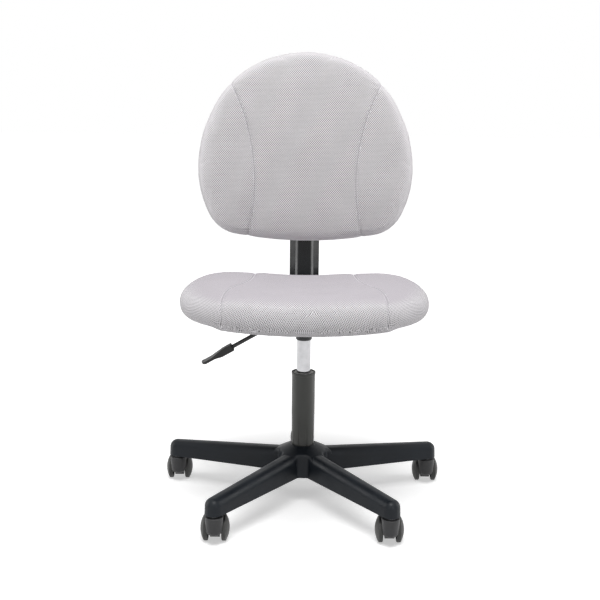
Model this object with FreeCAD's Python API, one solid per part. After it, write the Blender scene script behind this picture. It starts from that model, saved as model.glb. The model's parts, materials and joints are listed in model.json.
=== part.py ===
import FreeCAD, Part
import math
import os
from FreeCAD import Vector

# Armless task chair: five-star base on twin-wheel casters, gas lift, padded seat,
# pressed steel back bar and padded back.
# Lengths are millimetres and angles degrees. The origin is on the floor under the
# gas lift, +Z is up and the sitter faces -Y.

# Casters
WHEEL_DIAMETER = 50.0
WHEEL_TREAD = 7.5
WHEEL_DOME = 7.2
WHEEL_WALL = 3.0
WHEEL_RIM = 4.5
WHEEL_HUB = 15.0
WHEEL_EDGE = 1.2
WHEEL_PAIR_GAP = 26.0
WHEEL_SIDE_PLAY = 0.4
WHEEL_BODY_PLAY = 1.2
AXLE_DIAMETER = 8.0
AXLE_BITE = 8.0
AXLE_END_PLAY = 0.5
CASTER_TRAIL = 24.0
CASTER_CROWN = 8.0
CASTER_HEAD = 35.0
CASTER_FOOT = 29.0
CASTER_FOOT_HEIGHT = 21.0
CASTER_FOOT_ROUND = 9.0
CASTER_HEAD_ROUND = 2.0
CASTER_WEB = 18.0
CASTER_WEB_DIAMETER = 36.0
STEM_DIAMETER = 11.0
STEM_FLANGE = 17.0
STEM_FLANGE_HEIGHT = 2.0
STEM_BITE = 26.0
STEM_RISE = 26.0
STEM_LOOSE = 0.5
RING_HEIGHT = 2.6
RING_GROOVE = 3.0
RING_DROP = 5.0
RING_SPLIT = 1.5
RING_NECK = 1.0

# Star base
ARM_COUNT = 5
BASE_RADIUS = 280.0
CASTER_GAP = 4.5
ARM_TIP = 35.6
ARM_ROOT = 41.0
ARM_TIP_HEIGHT = 31.5
ARM_ROOT_HEIGHT = 49.0
ARM_DRAFT = 1.5
ARM_EDGE = 15.0
ARM_WALL = 4.0
ARM_RIB = 3.0
ARM_RIB_COUNT = 4
HUB_DIAMETER = 96.0
HUB_HEIGHT = 58.5
HUB_LIP = 4.0
HUB_LIP_ROUND = 2.0
HUB_SLOPE = 27.0
HUB_EDGE = 8.0
HUB_WEB_ROUND = 8.0
HUB_WEB_BITE = 0.5
SOCKET_DEPTH_PLAY = 1.0

# Gas lift
PIPE_DIAMETER = 47.0
PIPE_WALL = 2.0
PIPE_LENGTH = 210.0
PIPE_INSET = 1.0
PIPE_NECK = 46.5
PIPE_FOOT = 43.5
PIPE_FLOOR = 3.0
PIPE_RIM = 0.6
PIPE_LIP = 0.8
PIPE_LIP_HEIGHT = 5.0
SWAGE_RISE = 66.0
SWAGE_LENGTH = 8.0
FLUTE_COUNT = 9
FLUTE_RADIUS = 5.0
FLUTE_DEPTH = 1.2
FLUTE_FOOT_DEPTH = 0.5
FLUTE_OVERRUN = 0.1
DIMPLE_COUNT = 3
DIMPLE_RADIUS = 5.0
DIMPLE_DEPTH = 0.8
DIMPLE_DROP = 15.0
DIMPLE_TURN = -21.0
SLEEVE_LENGTH = 68.0
SLEEVE_INSET = 1.0
LIFT_DROP = 54.0
LIFT_RISE = 46.0
LIFT_SPARE = 0.5
TUBE_DIAMETER = 28.0
TUBE_WALL = 2.0
TUBE_HEAD_WALL = 4.0
TUBE_TAPER = 1.5
PLUG_HEIGHT = 22.0
ROD_DIAMETER = 10.0
ROD_FOOT = 8.0
ROD_TAIL = 5.0
HEAD_HEIGHT = 14.0
HEAD_GROOVE = 3.0
HEAD_GROOVE_DEPTH = 1.5
RACE_DIAMETER = 26.0
RACE_HEIGHT = 2.0
BALL_DIAMETER = 4.0
BALL_COUNT = 8
BALL_PITCH = 19.0
CAGE_HEIGHT = 1.6
CAGE_WALL = 1.0
BUMP_DIAMETER = 24.0
BUMP_HEIGHT = 16.0
CLIP_DIAMETER = 15.0
CLIP_HEIGHT = 1.2
CLIP_BITE = 0.8
CLIP_GAP = 0.3
VALVE_HEIGHT = 20.0
PIN_DIAMETER = 7.0
PIN_LENGTH = 22.0
PIN_RISE = 10.0
PIN_DOME = 1.2
PIN_TIP = 2.4
PIN_WELL = 6.0

# Seat plate
SOCKET_CLEAR = 13.0
SOCKET_DIAMETER = 32.5
SOCKET_DROP = 26.0
SOCKET_LIP = 3.0
SOCKET_POKE = 2.5
TUBE_POKE = 1.0
PLATE_GAUGE = 2.5
PLATE_DEPTH = 35.0
PLATE_WIDTH = 172.0
PLATE_FRONT = 105.0
PLATE_REAR = 128.0
PLATE_CORNER = 14.0
PLATE_RIM = 7.0
TUB_WIDTH = 97.0
TUB_FRONT = 44.0
TUB_REAR = 120.0
TUB_CORNER = 12.0
SEAT_BOLT_SPAN_X = 144.0
SEAT_BOLT_FRONT = 86.0
SEAT_BOLT_REAR = 108.0
SEAT_TILT = 2.5

# Height lever
LEVER_DIAMETER = 8.0
LEVER_FLAT = 6.0
LEVER_TONGUE = 11.0
LEVER_TONGUE_LENGTH = 24.0
LEVER_TONGUE_ROUND = 2.7
LEVER_OVERHANG = 7.0
LEVER_PLAY = 0.3
LEVER_SLOPE = 30.0
LEVER_REACH = 124.0
BARREL_DIAMETER = 14.0
BARREL_LENGTH = 12.0
BARREL_CLEAR = 1.0
PIVOT_DIAMETER = 5.0
PIVOT_HEAD = 8.0
PIVOT_HEAD_HEIGHT = 2.0
PIVOT_POKE = 1.0
EAR_GAUGE = 2.5
EAR_PLAY = 0.3
EAR_RADIUS = 7.0
BRACKET_GAUGE = 2.0
BRACKET_TOP = 11.0
WINDOW_PLAY = 1.5
PADDLE_LENGTH = 71.0
PADDLE_THICK = 14.4
PADDLE_SOCKET = 28.0
PADDLE_STEP = 13.0
PADDLE_EASE = 7.0
PADDLE_BLADE = 5.6
PADDLE_FLICK = 8.0
PADDLE_LIFT = 2.0
PADDLE_NECK = 17.0
PADDLE_WIDTH = 27.0
PADDLE_BITE = 20.0
PADDLE_EDGE = 1.2
PADDLE_TOE = 3.0
PADDLE_THROAT = 12.0
PADDLE_UNDER_SWEEP = 20.0
PADDLE_OVER_SWEEP = 30.0
PADDLE_FLICK_SWEEP = 15.0
PADDLE_MOUTH_ROUND = 3.0
PADDLE_WAIST_ROUND = 15.0
PADDLE_SHOULDER = 25.0
PADDLE_TIP_ROUND = 12.0

# Seat
SEAT_WIDTH = 490.0
SEAT_DEPTH = 450.0
SEAT_FRONT = 242.0
SEAT_TURNS = (90, 62, 18, -20, -76, -90)
SEAT_FRONT_CORNER = 180.0
SEAT_REAR_CORNER = 85.0
SEAT_BELLY = 20.0
SEAT_FRONT_RISE = 69.0
SEAT_REAR_RISE = 56.0
SEAT_DISH_WIDTH = 250.0
SEAT_DISH_DEPTH = 13.0
SEAT_DISH_OVERRUN = 0.1
SEAT_CROWN = 3.4
SEAT_FRONT_LIP = 8.0
SEAT_SEAM_REAR = 107.0
SEAT_SEAM_FRONT = 149.0
SEAT_UNDERCUT = 10.0
SEAT_BOARD_INSET = 16.0
BOARD_GAUGE = 12.0
CLOTH_GAUGE = 0.8
CLOTH_INSET = 17.0

# Back bar
BAR_WIDTH = 65.0
BAR_GAUGE = 4.0
BAR_RIB_WIDTH = 28.8
BAR_RIB_SLOPE = 6.2
BAR_RIB_DEPTH = 6.0
BAR_WING_DROP = 2.5
BAR_BEND = 45.0
BAR_START = 28.0
BAR_BEHIND_SEAT = 35.0
BAR_RISE = 322.0
BAR_CORNER = 10.0
BAR_EDGE_SHARE = 0.4
BAR_VALLEY_SHARE = 0.5
BAR_FOLD_SHARE = 0.8
BAR_BOLT_FIRST = 26.0
BAR_BOLT_STEP = 44.0
BAR_BOLT_COUNT = 2
BACK_RECLINE = 8.0

# Back
BACK_WIDTH = 463.0
BACK_HEIGHT = 401.0
BACK_START = 112.0
BACK_CORNER = 78.0
BACK_TURNS = (90, 40, -25, -80, -90)
BACK_CROWN = 2.9
BACK_BELLY = 22.0
BACK_TOP_DEPTH = 54.0
BACK_FOOT_DEPTH = 66.0
BACK_UNDERCUT = 10.0
BACK_REAR_EDGE = 1.0
BACK_BOARD_INSET = 14.0
BACK_BOARD_GAUGE = 10.0
BACK_SEAM_WAIST = 109.0
BACK_SEAM_RADIUS = 450.0
BACK_SEAM_RISE = 116.0
BACK_BOLT_FIRST = 60.0
BACK_BOLT_STEP = 66.0
BACK_BOLT_COUNT = 3
COVER_DEPTH = 18.0
COVER_WALL = 2.5
COVER_INSET = 13.0
COVER_CROWN = 2.9
COVER_FLAT = 0.4
COVER_ANGLES = (20, 38, 56, 72)
COVER_CHANNEL_PLAY = 2.0
COVER_BOSS = 14.0
COVER_SCREW_SPAN = 250.0
COVER_SCREW_LOW = 100.0
COVER_SCREW_HIGH = 290.0

# Padding and sewing
CROWN_ANGLES = (18, 34, 50, 64, 76)
UNDERCUT_SHARE = 0.25
BELLY_SHARE = 0.5
SEAM_WIDTH = 3.0
SEAM_DEPTH = 2.0

# Fasteners
SMALL_BOLT = 6.0
SMALL_HEX = 10.0
SMALL_HEX_HEIGHT = 4.0
LARGE_BOLT = 8.0
LARGE_HEX = 13.0
LARGE_HEX_HEIGHT = 5.3
LARGE_NUT_HEIGHT = 6.5
BOLT_POKE = 2.5
TEE_FLANGE = 19.0
TEE_GAUGE = 1.5
TEE_BARREL = 8.0
TEE_COVER = 2.5
TEE_ROOM = 1.2
SCREW_DIAMETER = 4.0
SCREW_HEAD = 8.0
SCREW_HEAD_HEIGHT = 2.5
SCREW_BITE = 8.0
SCREW_SEAT = 5.0
SCREW_ROOM = 0.5

# Fits: a running fit turns or slides, a close fit stays put
RUN_FIT = 0.06
CLOSE_FIT = 0.05

# How far a cut runs past the face it opens
CUT = 1.0

ARM_NAMES = ["right", "rear", "left", "front_left", "front_right"]
ARM_FIRST_ANGLE = 18.0
X_AXIS = Vector(1, 0, 0)
Y_AXIS = Vector(0, 1, 0)
Z_AXIS = Vector(0, 0, 1)

# Heights that follow from the stack of pieces
wheel_radius = WHEEL_DIAMETER / 2
caster_top = WHEEL_DIAMETER + CASTER_CROWN
arm_bottom = caster_top + CASTER_GAP
hub_top = arm_bottom + HUB_HEIGHT
pipe_bottom = arm_bottom + PIPE_INSET
pipe_top = pipe_bottom + PIPE_LENGTH
swage_top = hub_top + SWAGE_RISE
swage_bottom = swage_top - SWAGE_LENGTH
race_low = pipe_bottom + PIPE_FLOOR
ball_low = race_low + RACE_HEIGHT
race_high = ball_low + BALL_DIAMETER
rod_shoulder = race_high + RACE_HEIGHT
bump_top = rod_shoulder + BUMP_HEIGHT
tube_bottom = bump_top + LIFT_SPARE + LIFT_DROP
head_bottom = tube_bottom + PLUG_HEIGHT + LIFT_RISE + LIFT_SPARE
socket_bottom = pipe_top + SOCKET_CLEAR + LIFT_DROP
plate_floor = socket_bottom + SOCKET_DROP
plate_top = plate_floor + PLATE_DEPTH
socket_top = plate_floor + PLATE_GAUGE + SOCKET_POKE
tube_top = socket_top + TUBE_POKE
pin_top = tube_top + PIN_RISE
lever_height = pin_top + LEVER_PLAY + LEVER_FLAT / 2
board_low = CLOTH_GAUGE
board_high = CLOTH_GAUGE + BOARD_GAUGE
pipe_radius = PIPE_DIAMETER / 2
tube_radius = TUBE_DIAMETER / 2
tube_bore = tube_radius - TUBE_WALL
axle_radius = AXLE_DIAMETER / 2
stem_radius = STEM_DIAMETER / 2
wheel_face = WHEEL_PAIR_GAP / 2
lever_radius = LEVER_DIAMETER / 2
bar_depth = BAR_RIB_DEPTH + BAR_WING_DROP + BAR_GAUGE
bar_run = SEAT_DEPTH - SEAT_FRONT + BAR_BEHIND_SEAT - BAR_BEND - BAR_START
tub_wall = TUB_WIDTH / 2 - PLATE_GAUGE
lever_arm = tub_wall - BRACKET_GAUGE - BARREL_CLEAR - BARREL_DIAMETER / 2


def rounded_wire(corners):
    """Closed wire through (point, corner radius) pairs, with arcs tangent to both sides."""
    entries, exits, arcs = [], [], []
    for index, (point, radius) in enumerate(corners):
        before = (corners[index - 1][0] - point).normalize()
        after = (corners[(index + 1) % len(corners)][0] - point).normalize()
        if radius == 0:
            entries.append(point)
            exits.append(point)
            arcs.append(None)
            continue
        half = before.getAngle(after) / 2
        setback = radius / math.tan(half)
        inward = (before + after).normalize()
        middle = point + inward * (radius / math.sin(half) - radius)
        entries.append(point + before * setback)
        exits.append(point + after * setback)
        arcs.append(Part.Arc(entries[-1], middle, exits[-1]).toShape())
    edges = []
    for index, arc in enumerate(arcs):
        if arc:
            edges.append(arc)
        end = entries[(index + 1) % len(corners)]
        if exits[index].distanceToPoint(end) > 1e-6:
            edges.append(Part.LineSegment(exits[index], end).toShape())
    return Part.Wire(edges)


def turned(corners):
    """Solid of revolution about Z from (radius, height, corner radius) triples."""
    wire = rounded_wire([(Vector(r, 0, z), corner) for r, z, corner in corners])
    return Part.Face(wire).revolve(Vector(), Z_AXIS, 360)


def pillar(radius, low, high, x=0.0, y=0.0):
    return Part.makeCylinder(radius, high - low, Vector(x, y, low))


def tube(radius, bore, low, high):
    return pillar(radius, low, high).cut(pillar(bore, low, high))


def bar_x(radius, start, end, y=0.0, z=0.0):
    return Part.makeCylinder(radius, end - start, Vector(start, y, z), X_AXIS)


def bar_y(radius, start, end, x=0.0, z=0.0):
    return Part.makeCylinder(radius, end - start, Vector(x, start, z), Y_AXIS)


def block(x0, x1, y0, y1, z0, z1):
    return Part.makeBox(x1 - x0, y1 - y0, z1 - z0, Vector(x0, y0, z0))


def rounded_plate(x0, x1, y0, y1, z0, z1, corner):
    points = [Vector(x0, y0, z0), Vector(x1, y0, z0), Vector(x1, y1, z0), Vector(x0, y1, z0)]
    return Part.Face(rounded_wire([(p, corner) for p in points])).extrude(Z_AXIS * (z1 - z0))


def hexagon(across_flats, low, high, x=0.0, y=0.0):
    reach = across_flats / math.sqrt(3)
    points = []
    for step in range(6):
        angle = math.radians(60 * step)
        points.append((Vector(x + reach * math.cos(angle), y + reach * math.sin(angle), low), 0))
    return Part.Face(rounded_wire(points)).extrude(Z_AXIS * (high - low))


def spun(shape, angle):
    result = shape.copy()
    result.rotate(Vector(), Z_AXIS, angle)
    return result


def moved(shape, x=0.0, y=0.0, z=0.0):
    result = shape.copy()
    result.translate(Vector(x, y, z))
    return result


def ring_of(shape, count, first_angle=0.0):
    return [spun(shape, first_angle + 360.0 * step / count) for step in range(count)]


def group(shapes):
    return Part.makeCompound(shapes)


# Casters, each modelled with its stem on the Z axis and its axle behind it
def wheel(side):
    """Hollow wheel with a domed outer face; side is +1 or -1 along X."""
    inner, tread_end = wheel_face, wheel_face + WHEEL_TREAD
    crown = tread_end + WHEEL_DOME
    dome = (wheel_radius ** 2 + WHEEL_DOME ** 2) / (2 * WHEEL_DOME)
    dome_centre = crown - dome
    rim = wheel_radius - WHEEL_RIM
    web = dome_centre + math.sqrt(dome ** 2 - rim ** 2) - WHEEL_WALL
    hub = WHEEL_HUB / 2
    bore = axle_radius + RUN_FIT
    bore_end = inner + AXLE_BITE + AXLE_END_PLAY
    half = math.asin(wheel_radius / dome) / 2
    edge = Vector(tread_end, 0, wheel_radius)
    top = Vector(dome_centre + dome * math.cos(half), 0, dome * math.sin(half))
    pole = Vector(crown, 0, 0)
    points = [(crown, 0), (bore_end, 0), (bore_end, bore), (inner, bore), (inner, hub), (web, hub)]
    points += [(web, rim), (inner, rim), (inner, wheel_radius - WHEEL_EDGE)]
    points += [(inner + WHEEL_EDGE, wheel_radius), (tread_end, wheel_radius)]
    edges = [Part.Arc(edge, top, pole).toShape()]
    for (x0, r0), (x1, r1) in zip(points, points[1:]):
        edges.append(Part.LineSegment(Vector(x0, 0, r0), Vector(x1, 0, r1)).toShape())
    solid = Part.Face(Part.Wire(edges)).revolve(Vector(), X_AXIS, 360)
    if side < 0:
        solid = solid.mirror(Vector(), X_AXIS)
    return moved(solid, y=CASTER_TRAIL, z=wheel_radius)


def caster_body():
    head, foot = CASTER_HEAD / 2, CASTER_FOOT / 2
    boss = turned([(0, CASTER_FOOT_HEIGHT, 0), (foot, CASTER_FOOT_HEIGHT, CASTER_FOOT_ROUND),
                   (head, caster_top, CASTER_HEAD_ROUND), (0, caster_top, 0)])
    web_side = CASTER_WEB / 2
    web = bar_x(CASTER_WEB_DIAMETER / 2, -web_side, web_side, CASTER_TRAIL, wheel_radius)
    hub_side = wheel_face - WHEEL_SIDE_PLAY
    hub = bar_x(WHEEL_HUB / 2, -hub_side, hub_side, CASTER_TRAIL, wheel_radius)
    body = boss.fuse([web, hub])
    room = wheel_radius + WHEEL_BODY_PLAY
    for side in (-1, 1):
        start = min(side * hub_side, side * CASTER_HEAD)
        end = max(side * hub_side, side * CASTER_HEAD)
        body = body.cut(bar_x(room, start, end, CASTER_TRAIL, wheel_radius))
    axle_hole = bar_x(axle_radius + CLOSE_FIT, -CASTER_HEAD, CASTER_HEAD, CASTER_TRAIL, wheel_radius)
    stem_hole = pillar(stem_radius + CLOSE_FIT, caster_top - STEM_BITE, caster_top)
    return body.cut([axle_hole, stem_hole]).removeSplitter()


def caster_axle():
    reach = wheel_face + AXLE_BITE
    return bar_x(axle_radius, -reach, reach, CASTER_TRAIL, wheel_radius)


def caster_stem():
    """Stem with a flange on the caster body, and the split grip ring in its groove."""
    top = arm_bottom + STEM_RISE
    ring_low = top - RING_DROP
    groove = RING_GROOVE / 2
    neck = stem_radius - RING_NECK
    stem = pillar(stem_radius, caster_top - STEM_BITE, top)
    stem = stem.fuse(pillar(STEM_FLANGE / 2, caster_top, caster_top + STEM_FLANGE_HEIGHT))
    stem = stem.cut(tube(stem_radius + CUT, neck, ring_low - groove, ring_low + groove))
    stem = stem.makeChamfer(STEM_LOOSE, [e for e in stem.Edges if abs(e.BoundBox.ZMin - top) < 1e-6])
    ring_outer = stem_radius + STEM_LOOSE - RUN_FIT
    ring = tube(ring_outer, neck + CLOSE_FIT, ring_low - RING_HEIGHT / 2, ring_low + RING_HEIGHT / 2)
    split = RING_SPLIT / 2
    ring = ring.cut(block(-split, split, 0, ring_outer + CUT, ring_low - groove, ring_low + groove))
    return group([stem, ring])


# Star base
def arm_section(distance, inset, drop):
    """Outline across an arm at a distance from the hub axis, drawn in by a wall thickness."""
    share = distance / BASE_RADIUS
    half = (ARM_ROOT + (ARM_TIP - ARM_ROOT) * share) / 2 - inset
    top = arm_bottom + ARM_ROOT_HEIGHT + (ARM_TIP_HEIGHT - ARM_ROOT_HEIGHT) * share - inset
    corner = ARM_EDGE - inset
    low = arm_bottom - drop
    return rounded_wire([(Vector(distance, -half, low), 0), (Vector(distance, half, low), 0),
                         (Vector(distance, half - ARM_DRAFT, top), corner),
                         (Vector(distance, ARM_DRAFT - half, top), corner)])


def arm():
    """One arm along +X with its rounded tip, without hollows."""
    beam = Part.makeLoft([arm_section(0, 0, 0), arm_section(BASE_RADIUS, 0, 0)], True, True)
    tip = turned([(0, arm_bottom, 0), (ARM_TIP / 2, arm_bottom, 0),
                  (ARM_TIP / 2 - ARM_DRAFT, arm_bottom + ARM_TIP_HEIGHT, ARM_EDGE),
                  (0, arm_bottom + ARM_TIP_HEIGHT, 0)])
    return beam.fuse(moved(tip, x=BASE_RADIUS))


def arm_hollow():
    """The open underside of an arm, left as cells between its ribs."""
    start = HUB_DIAMETER / 2 + ARM_WALL
    end = BASE_RADIUS - ARM_TIP / 2 + ARM_WALL / 2
    sections = [arm_section(start, ARM_WALL, CUT), arm_section(end, ARM_WALL, CUT)]
    hollow = Part.makeLoft(sections, True, True)
    pitch = (end - start) / (ARM_RIB_COUNT + 1)
    rib = ARM_RIB / 2
    ribs = [block(start - CUT, end + CUT, -rib, rib, 0, hub_top)]
    for step in range(1, ARM_RIB_COUNT + 1):
        place = start + pitch * step
        ribs.append(block(place - rib, place + rib, -ARM_ROOT, ARM_ROOT, 0, hub_top))
    return hollow.cut(ribs)


def pipe_outside(height):
    """Outer radius of the standpipe's tapered foot at a height."""
    share = (height - pipe_bottom) / (swage_bottom - pipe_bottom)
    return (PIPE_FOOT + (PIPE_NECK - PIPE_FOOT) * share) / 2


def hub_corner(draw_in):
    """Points of the rounded corner between the hub and an arm: on the arm, mid, on the hub, and a stub."""
    radius = HUB_DIAMETER / 2
    root = ARM_ROOT / 2 - HUB_WEB_BITE - draw_in
    slope = math.atan2((ARM_TIP - ARM_ROOT) / 2, BASE_RADIUS)
    along = Vector(math.cos(slope), math.sin(slope), 0)
    across = Vector(-math.sin(slope), math.cos(slope), 0)
    offset = root * math.cos(slope) + HUB_WEB_ROUND
    reach = math.sqrt((radius + HUB_WEB_ROUND) ** 2 - offset ** 2)
    centre = across * offset + along * reach
    on_arm = centre - across * HUB_WEB_ROUND
    on_hub = centre * (radius / (radius + HUB_WEB_ROUND))
    toward = (on_arm - centre + on_hub - centre).normalize()
    return on_arm, centre + toward * HUB_WEB_ROUND, on_hub, on_arm + along * HUB_WEB_ROUND


def hub_outline(height, draw_in):
    """Outline of the hub at a height: an arc in each gap, rounded into short stubs of the arms."""
    pitch = 360.0 / ARM_COUNT
    crest = FreeCAD.Rotation(Z_AXIS, pitch / 2).multVec(X_AXIS * (HUB_DIAMETER / 2))
    left = hub_corner(draw_in)
    right = [Vector(p.x, -p.y, 0) for p in left]
    edges = []
    for step in range(ARM_COUNT):
        here = FreeCAD.Rotation(Z_AXIS, ARM_FIRST_ANGLE + pitch * step)
        there = FreeCAD.Rotation(Z_AXIS, ARM_FIRST_ANGLE + pitch * (step + 1))
        lift = Z_AXIS * height
        arm_r, mid_r, hub_r, stub_r = [here.multVec(p) + lift for p in right]
        arm_l, mid_l, hub_l, stub_l = [here.multVec(p) + lift for p in left]
        ahead = there.multVec(right[2]) + lift
        edges.append(Part.Arc(hub_r, mid_r, arm_r).toShape())
        edges.append(Part.LineSegment(arm_r, stub_r).toShape())
        edges.append(Part.LineSegment(stub_r, stub_l).toShape())
        edges.append(Part.LineSegment(stub_l, arm_l).toShape())
        edges.append(Part.Arc(arm_l, mid_l, hub_l).toShape())
        edges.append(Part.Arc(hub_l, here.multVec(crest) + lift, ahead).toShape())
    return Part.Wire(edges)


def hub_form():
    """Hub with a shallow conical top, rounded over into its sides and into the arms."""
    mouth = pipe_outside(hub_top) + HUB_LIP
    wide = HUB_DIAMETER
    brim = hub_top - (wide - mouth) * math.tan(math.radians(HUB_SLOPE))
    sides = Part.makeLoft([hub_outline(arm_bottom, 0), hub_outline(hub_top, ARM_DRAFT)], True, True)
    top = turned([(0, arm_bottom - CUT, 0), (wide, arm_bottom - CUT, 0), (wide, brim, 0),
                  (mouth, hub_top, HUB_LIP_ROUND), (0, hub_top, 0)])
    form = sides.common(top)
    inside = (mouth + HUB_DIAMETER / 2) / 2
    rim = []
    for edge in form.Edges:
        place = edge.CenterOfMass
        outside = math.hypot(place.x, place.y) > inside
        if outside and place.z > arm_bottom + HUB_HEIGHT / 2:
            rim.append(edge)
    return form.makeFillet(HUB_EDGE, rim)


def star_base():
    solid = hub_form()
    for limb in ring_of(arm(), ARM_COUNT, ARM_FIRST_ANGLE):
        solid = solid.fuse(limb)
    cone_low = pipe_outside(arm_bottom - CUT) + CLOSE_FIT
    cone_high = pipe_outside(hub_top + CUT) + CLOSE_FIT
    bore = Part.makeCone(cone_low, cone_high, HUB_HEIGHT + 2 * CUT, Vector(0, 0, arm_bottom - CUT))
    top = arm_bottom + STEM_RISE + SOCKET_DEPTH_PLAY
    socket = pillar(stem_radius + STEM_LOOSE, arm_bottom - CUT, top, BASE_RADIUS)
    cells = []
    for hollow in ring_of(arm_hollow(), ARM_COUNT, ARM_FIRST_ANGLE):
        cells += hollow.Solids
    solid = solid.removeSplitter().cut(cells)
    return solid.cut(bore).cut(ring_of(socket, ARM_COUNT, ARM_FIRST_ANGLE))


# Gas lift
def standpipe():
    """Pipe with a tapered foot, closed by a floor; flutes in the taper fade out above the hub."""
    foot, neck = PIPE_FOOT / 2, PIPE_NECK / 2
    inside = [(PIPE_FOOT / 2 - PIPE_WALL, race_low), (neck - PIPE_WALL, swage_bottom)]
    inside += [(pipe_radius - PIPE_WALL, swage_top), (pipe_radius - PIPE_WALL, pipe_top)]
    hole = ROD_FOOT / 2 + RUN_FIT
    outline = [(hole, pipe_bottom, 0), (foot, pipe_bottom, PIPE_RIM), (neck, swage_bottom, 0)]
    lip, lip_low = pipe_radius + PIPE_LIP, pipe_top - PIPE_LIP_HEIGHT
    outline += [(pipe_radius, swage_top, 0), (pipe_radius, lip_low - PIPE_LIP, 0), (lip, lip_low, 0)]
    outline += [(lip, pipe_top, PIPE_RIM)]
    outline += [(r, z, 0) for r, z in reversed(inside)] + [(hole, race_low, 0)]
    pipe = turned(outline)
    stations = [(pipe_bottom - CUT, FLUTE_FOOT_DEPTH), (hub_top, FLUTE_DEPTH), (swage_bottom, -FLUTE_OVERRUN)]
    rings = []
    for height, depth in stations:
        centre = Vector(pipe_outside(height) + FLUTE_RADIUS - depth, 0, height)
        rings.append(Part.Wire([Part.makeCircle(FLUTE_RADIUS, centre, Z_AXIS)]))
    flute = Part.makeLoft(rings, True, True)
    first = -90 + 180.0 / FLUTE_COUNT
    dimple = Part.makeSphere(DIMPLE_RADIUS)
    dimple = moved(dimple, x=pipe_radius + DIMPLE_RADIUS - DIMPLE_DEPTH, z=pipe_top - DIMPLE_DROP)
    cuts = ring_of(flute, FLUTE_COUNT, first) + ring_of(dimple, DIMPLE_COUNT, DIMPLE_TURN)
    return pipe.cut(cuts)


def guide_sleeve():
    outer = pipe_radius - PIPE_WALL - CLOSE_FIT
    return tube(outer, tube_radius + RUN_FIT, pipe_top - SLEEVE_INSET - SLEEVE_LENGTH, pipe_top - SLEEVE_INSET)


def bearing_race(low):
    return tube(RACE_DIAMETER / 2, ROD_FOOT / 2 + RUN_FIT, low, low + RACE_HEIGHT)


def thrust_bearing():
    """Ring of balls in a flat cage."""
    radius = BALL_DIAMETER / 2
    middle = ball_low + radius
    ball = moved(Part.makeSphere(radius - CLOSE_FIT), x=BALL_PITCH / 2, z=middle)
    half = CAGE_HEIGHT / 2
    outer = BALL_PITCH / 2 + radius + CAGE_WALL
    cage = tube(outer, BALL_PITCH / 2 - radius - CAGE_WALL, middle - half, middle + half)
    pocket = pillar(radius + RUN_FIT, middle - half, middle + half, BALL_PITCH / 2)
    return group([cage.cut(ring_of(pocket, BALL_COUNT))] + ring_of(ball, BALL_COUNT))


def piston_rod():
    tail = pipe_bottom - ROD_TAIL
    clip_top = pipe_bottom - CLIP_GAP
    neck = ROD_FOOT / 2 - CLIP_BITE
    foot, body = ROD_FOOT / 2, ROD_DIAMETER / 2
    clip_low = clip_top - CLIP_HEIGHT
    end = head_bottom + HEAD_HEIGHT
    return turned([(0, tail, 0), (foot, tail, 0), (foot, clip_low, 0), (neck, clip_low, 0),
                   (neck, clip_top, 0), (foot, clip_top, 0), (foot, rod_shoulder, 0),
                   (body, rod_shoulder, 0), (body, head_bottom, 0), (foot, head_bottom, 0),
                   (foot, end, 0), (0, end, 0)])


def rod_clip():
    """Spring clip open on one side, in the rod's groove under the pipe floor."""
    top = pipe_bottom - CLIP_GAP - CLOSE_FIT / 2
    low = top - CLIP_HEIGHT + CLOSE_FIT
    neck = ROD_FOOT / 2 - CLIP_BITE + CLOSE_FIT
    ring = tube(CLIP_DIAMETER / 2, neck, low, top)
    return ring.cut(block(-neck, neck, 0, CLIP_DIAMETER, low, top))


def piston_head():
    bore = ROD_FOOT / 2 + CLOSE_FIT
    outer = tube_bore - RUN_FIT
    top = head_bottom + HEAD_HEIGHT
    middle = head_bottom + HEAD_HEIGHT / 2
    groove = tube(outer + CUT, outer - HEAD_GROOVE_DEPTH, middle - HEAD_GROOVE / 2, middle + HEAD_GROOVE / 2)
    return tube(outer, bore, head_bottom, top).cut(groove)


def bump_stop():
    bore = ROD_DIAMETER / 2 + CLOSE_FIT
    return tube(BUMP_DIAMETER / 2, bore, rod_shoulder, bump_top)


def taper_radius(height):
    """Radius of the pressure tube's head, which narrows from the socket's mouth upwards."""
    return tube_radius - max(0.0, height - socket_bottom) * math.tan(math.radians(TUBE_TAPER))


def pressure_tube():
    head_low = tube_top - TUBE_HEAD_WALL
    bore_top = taper_radius(head_low) - TUBE_WALL
    hole = PIN_DIAMETER / 2 + RUN_FIT
    return turned([(tube_bore, tube_bottom, 0), (tube_radius, tube_bottom, 0),
                   (tube_radius, socket_bottom, 0), (taper_radius(tube_top), tube_top, 0),
                   (hole, tube_top, 0), (hole, head_low, 0), (bore_top, head_low, 0),
                   (tube_bore, socket_bottom, 0)])


def tube_plug():
    return tube(tube_bore - CLOSE_FIT, ROD_DIAMETER / 2 + RUN_FIT, tube_bottom, tube_bottom + PLUG_HEIGHT)


def valve_block():
    """Tapered block under the tube's head, with a blind well for the release pin."""
    top = tube_top - TUBE_HEAD_WALL
    low = top - VALVE_HEIGHT
    well = pin_top - PIN_LENGTH - PIN_WELL
    hole = PIN_DIAMETER / 2 + RUN_FIT
    wide = taper_radius(low) - TUBE_WALL - CLOSE_FIT
    narrow = taper_radius(top) - TUBE_WALL - CLOSE_FIT
    return turned([(0, low, 0), (wide, low, 0), (narrow, top, 0), (hole, top, 0), (hole, well, 0), (0, well, 0)])


def release_pin():
    radius = PIN_DIAMETER / 2
    return turned([(0, pin_top - PIN_LENGTH, 0), (radius, pin_top - PIN_LENGTH, 0),
                   (radius, pin_top - PIN_DOME, 0), (PIN_TIP / 2, pin_top, 0), (0, pin_top, 0)])


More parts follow.
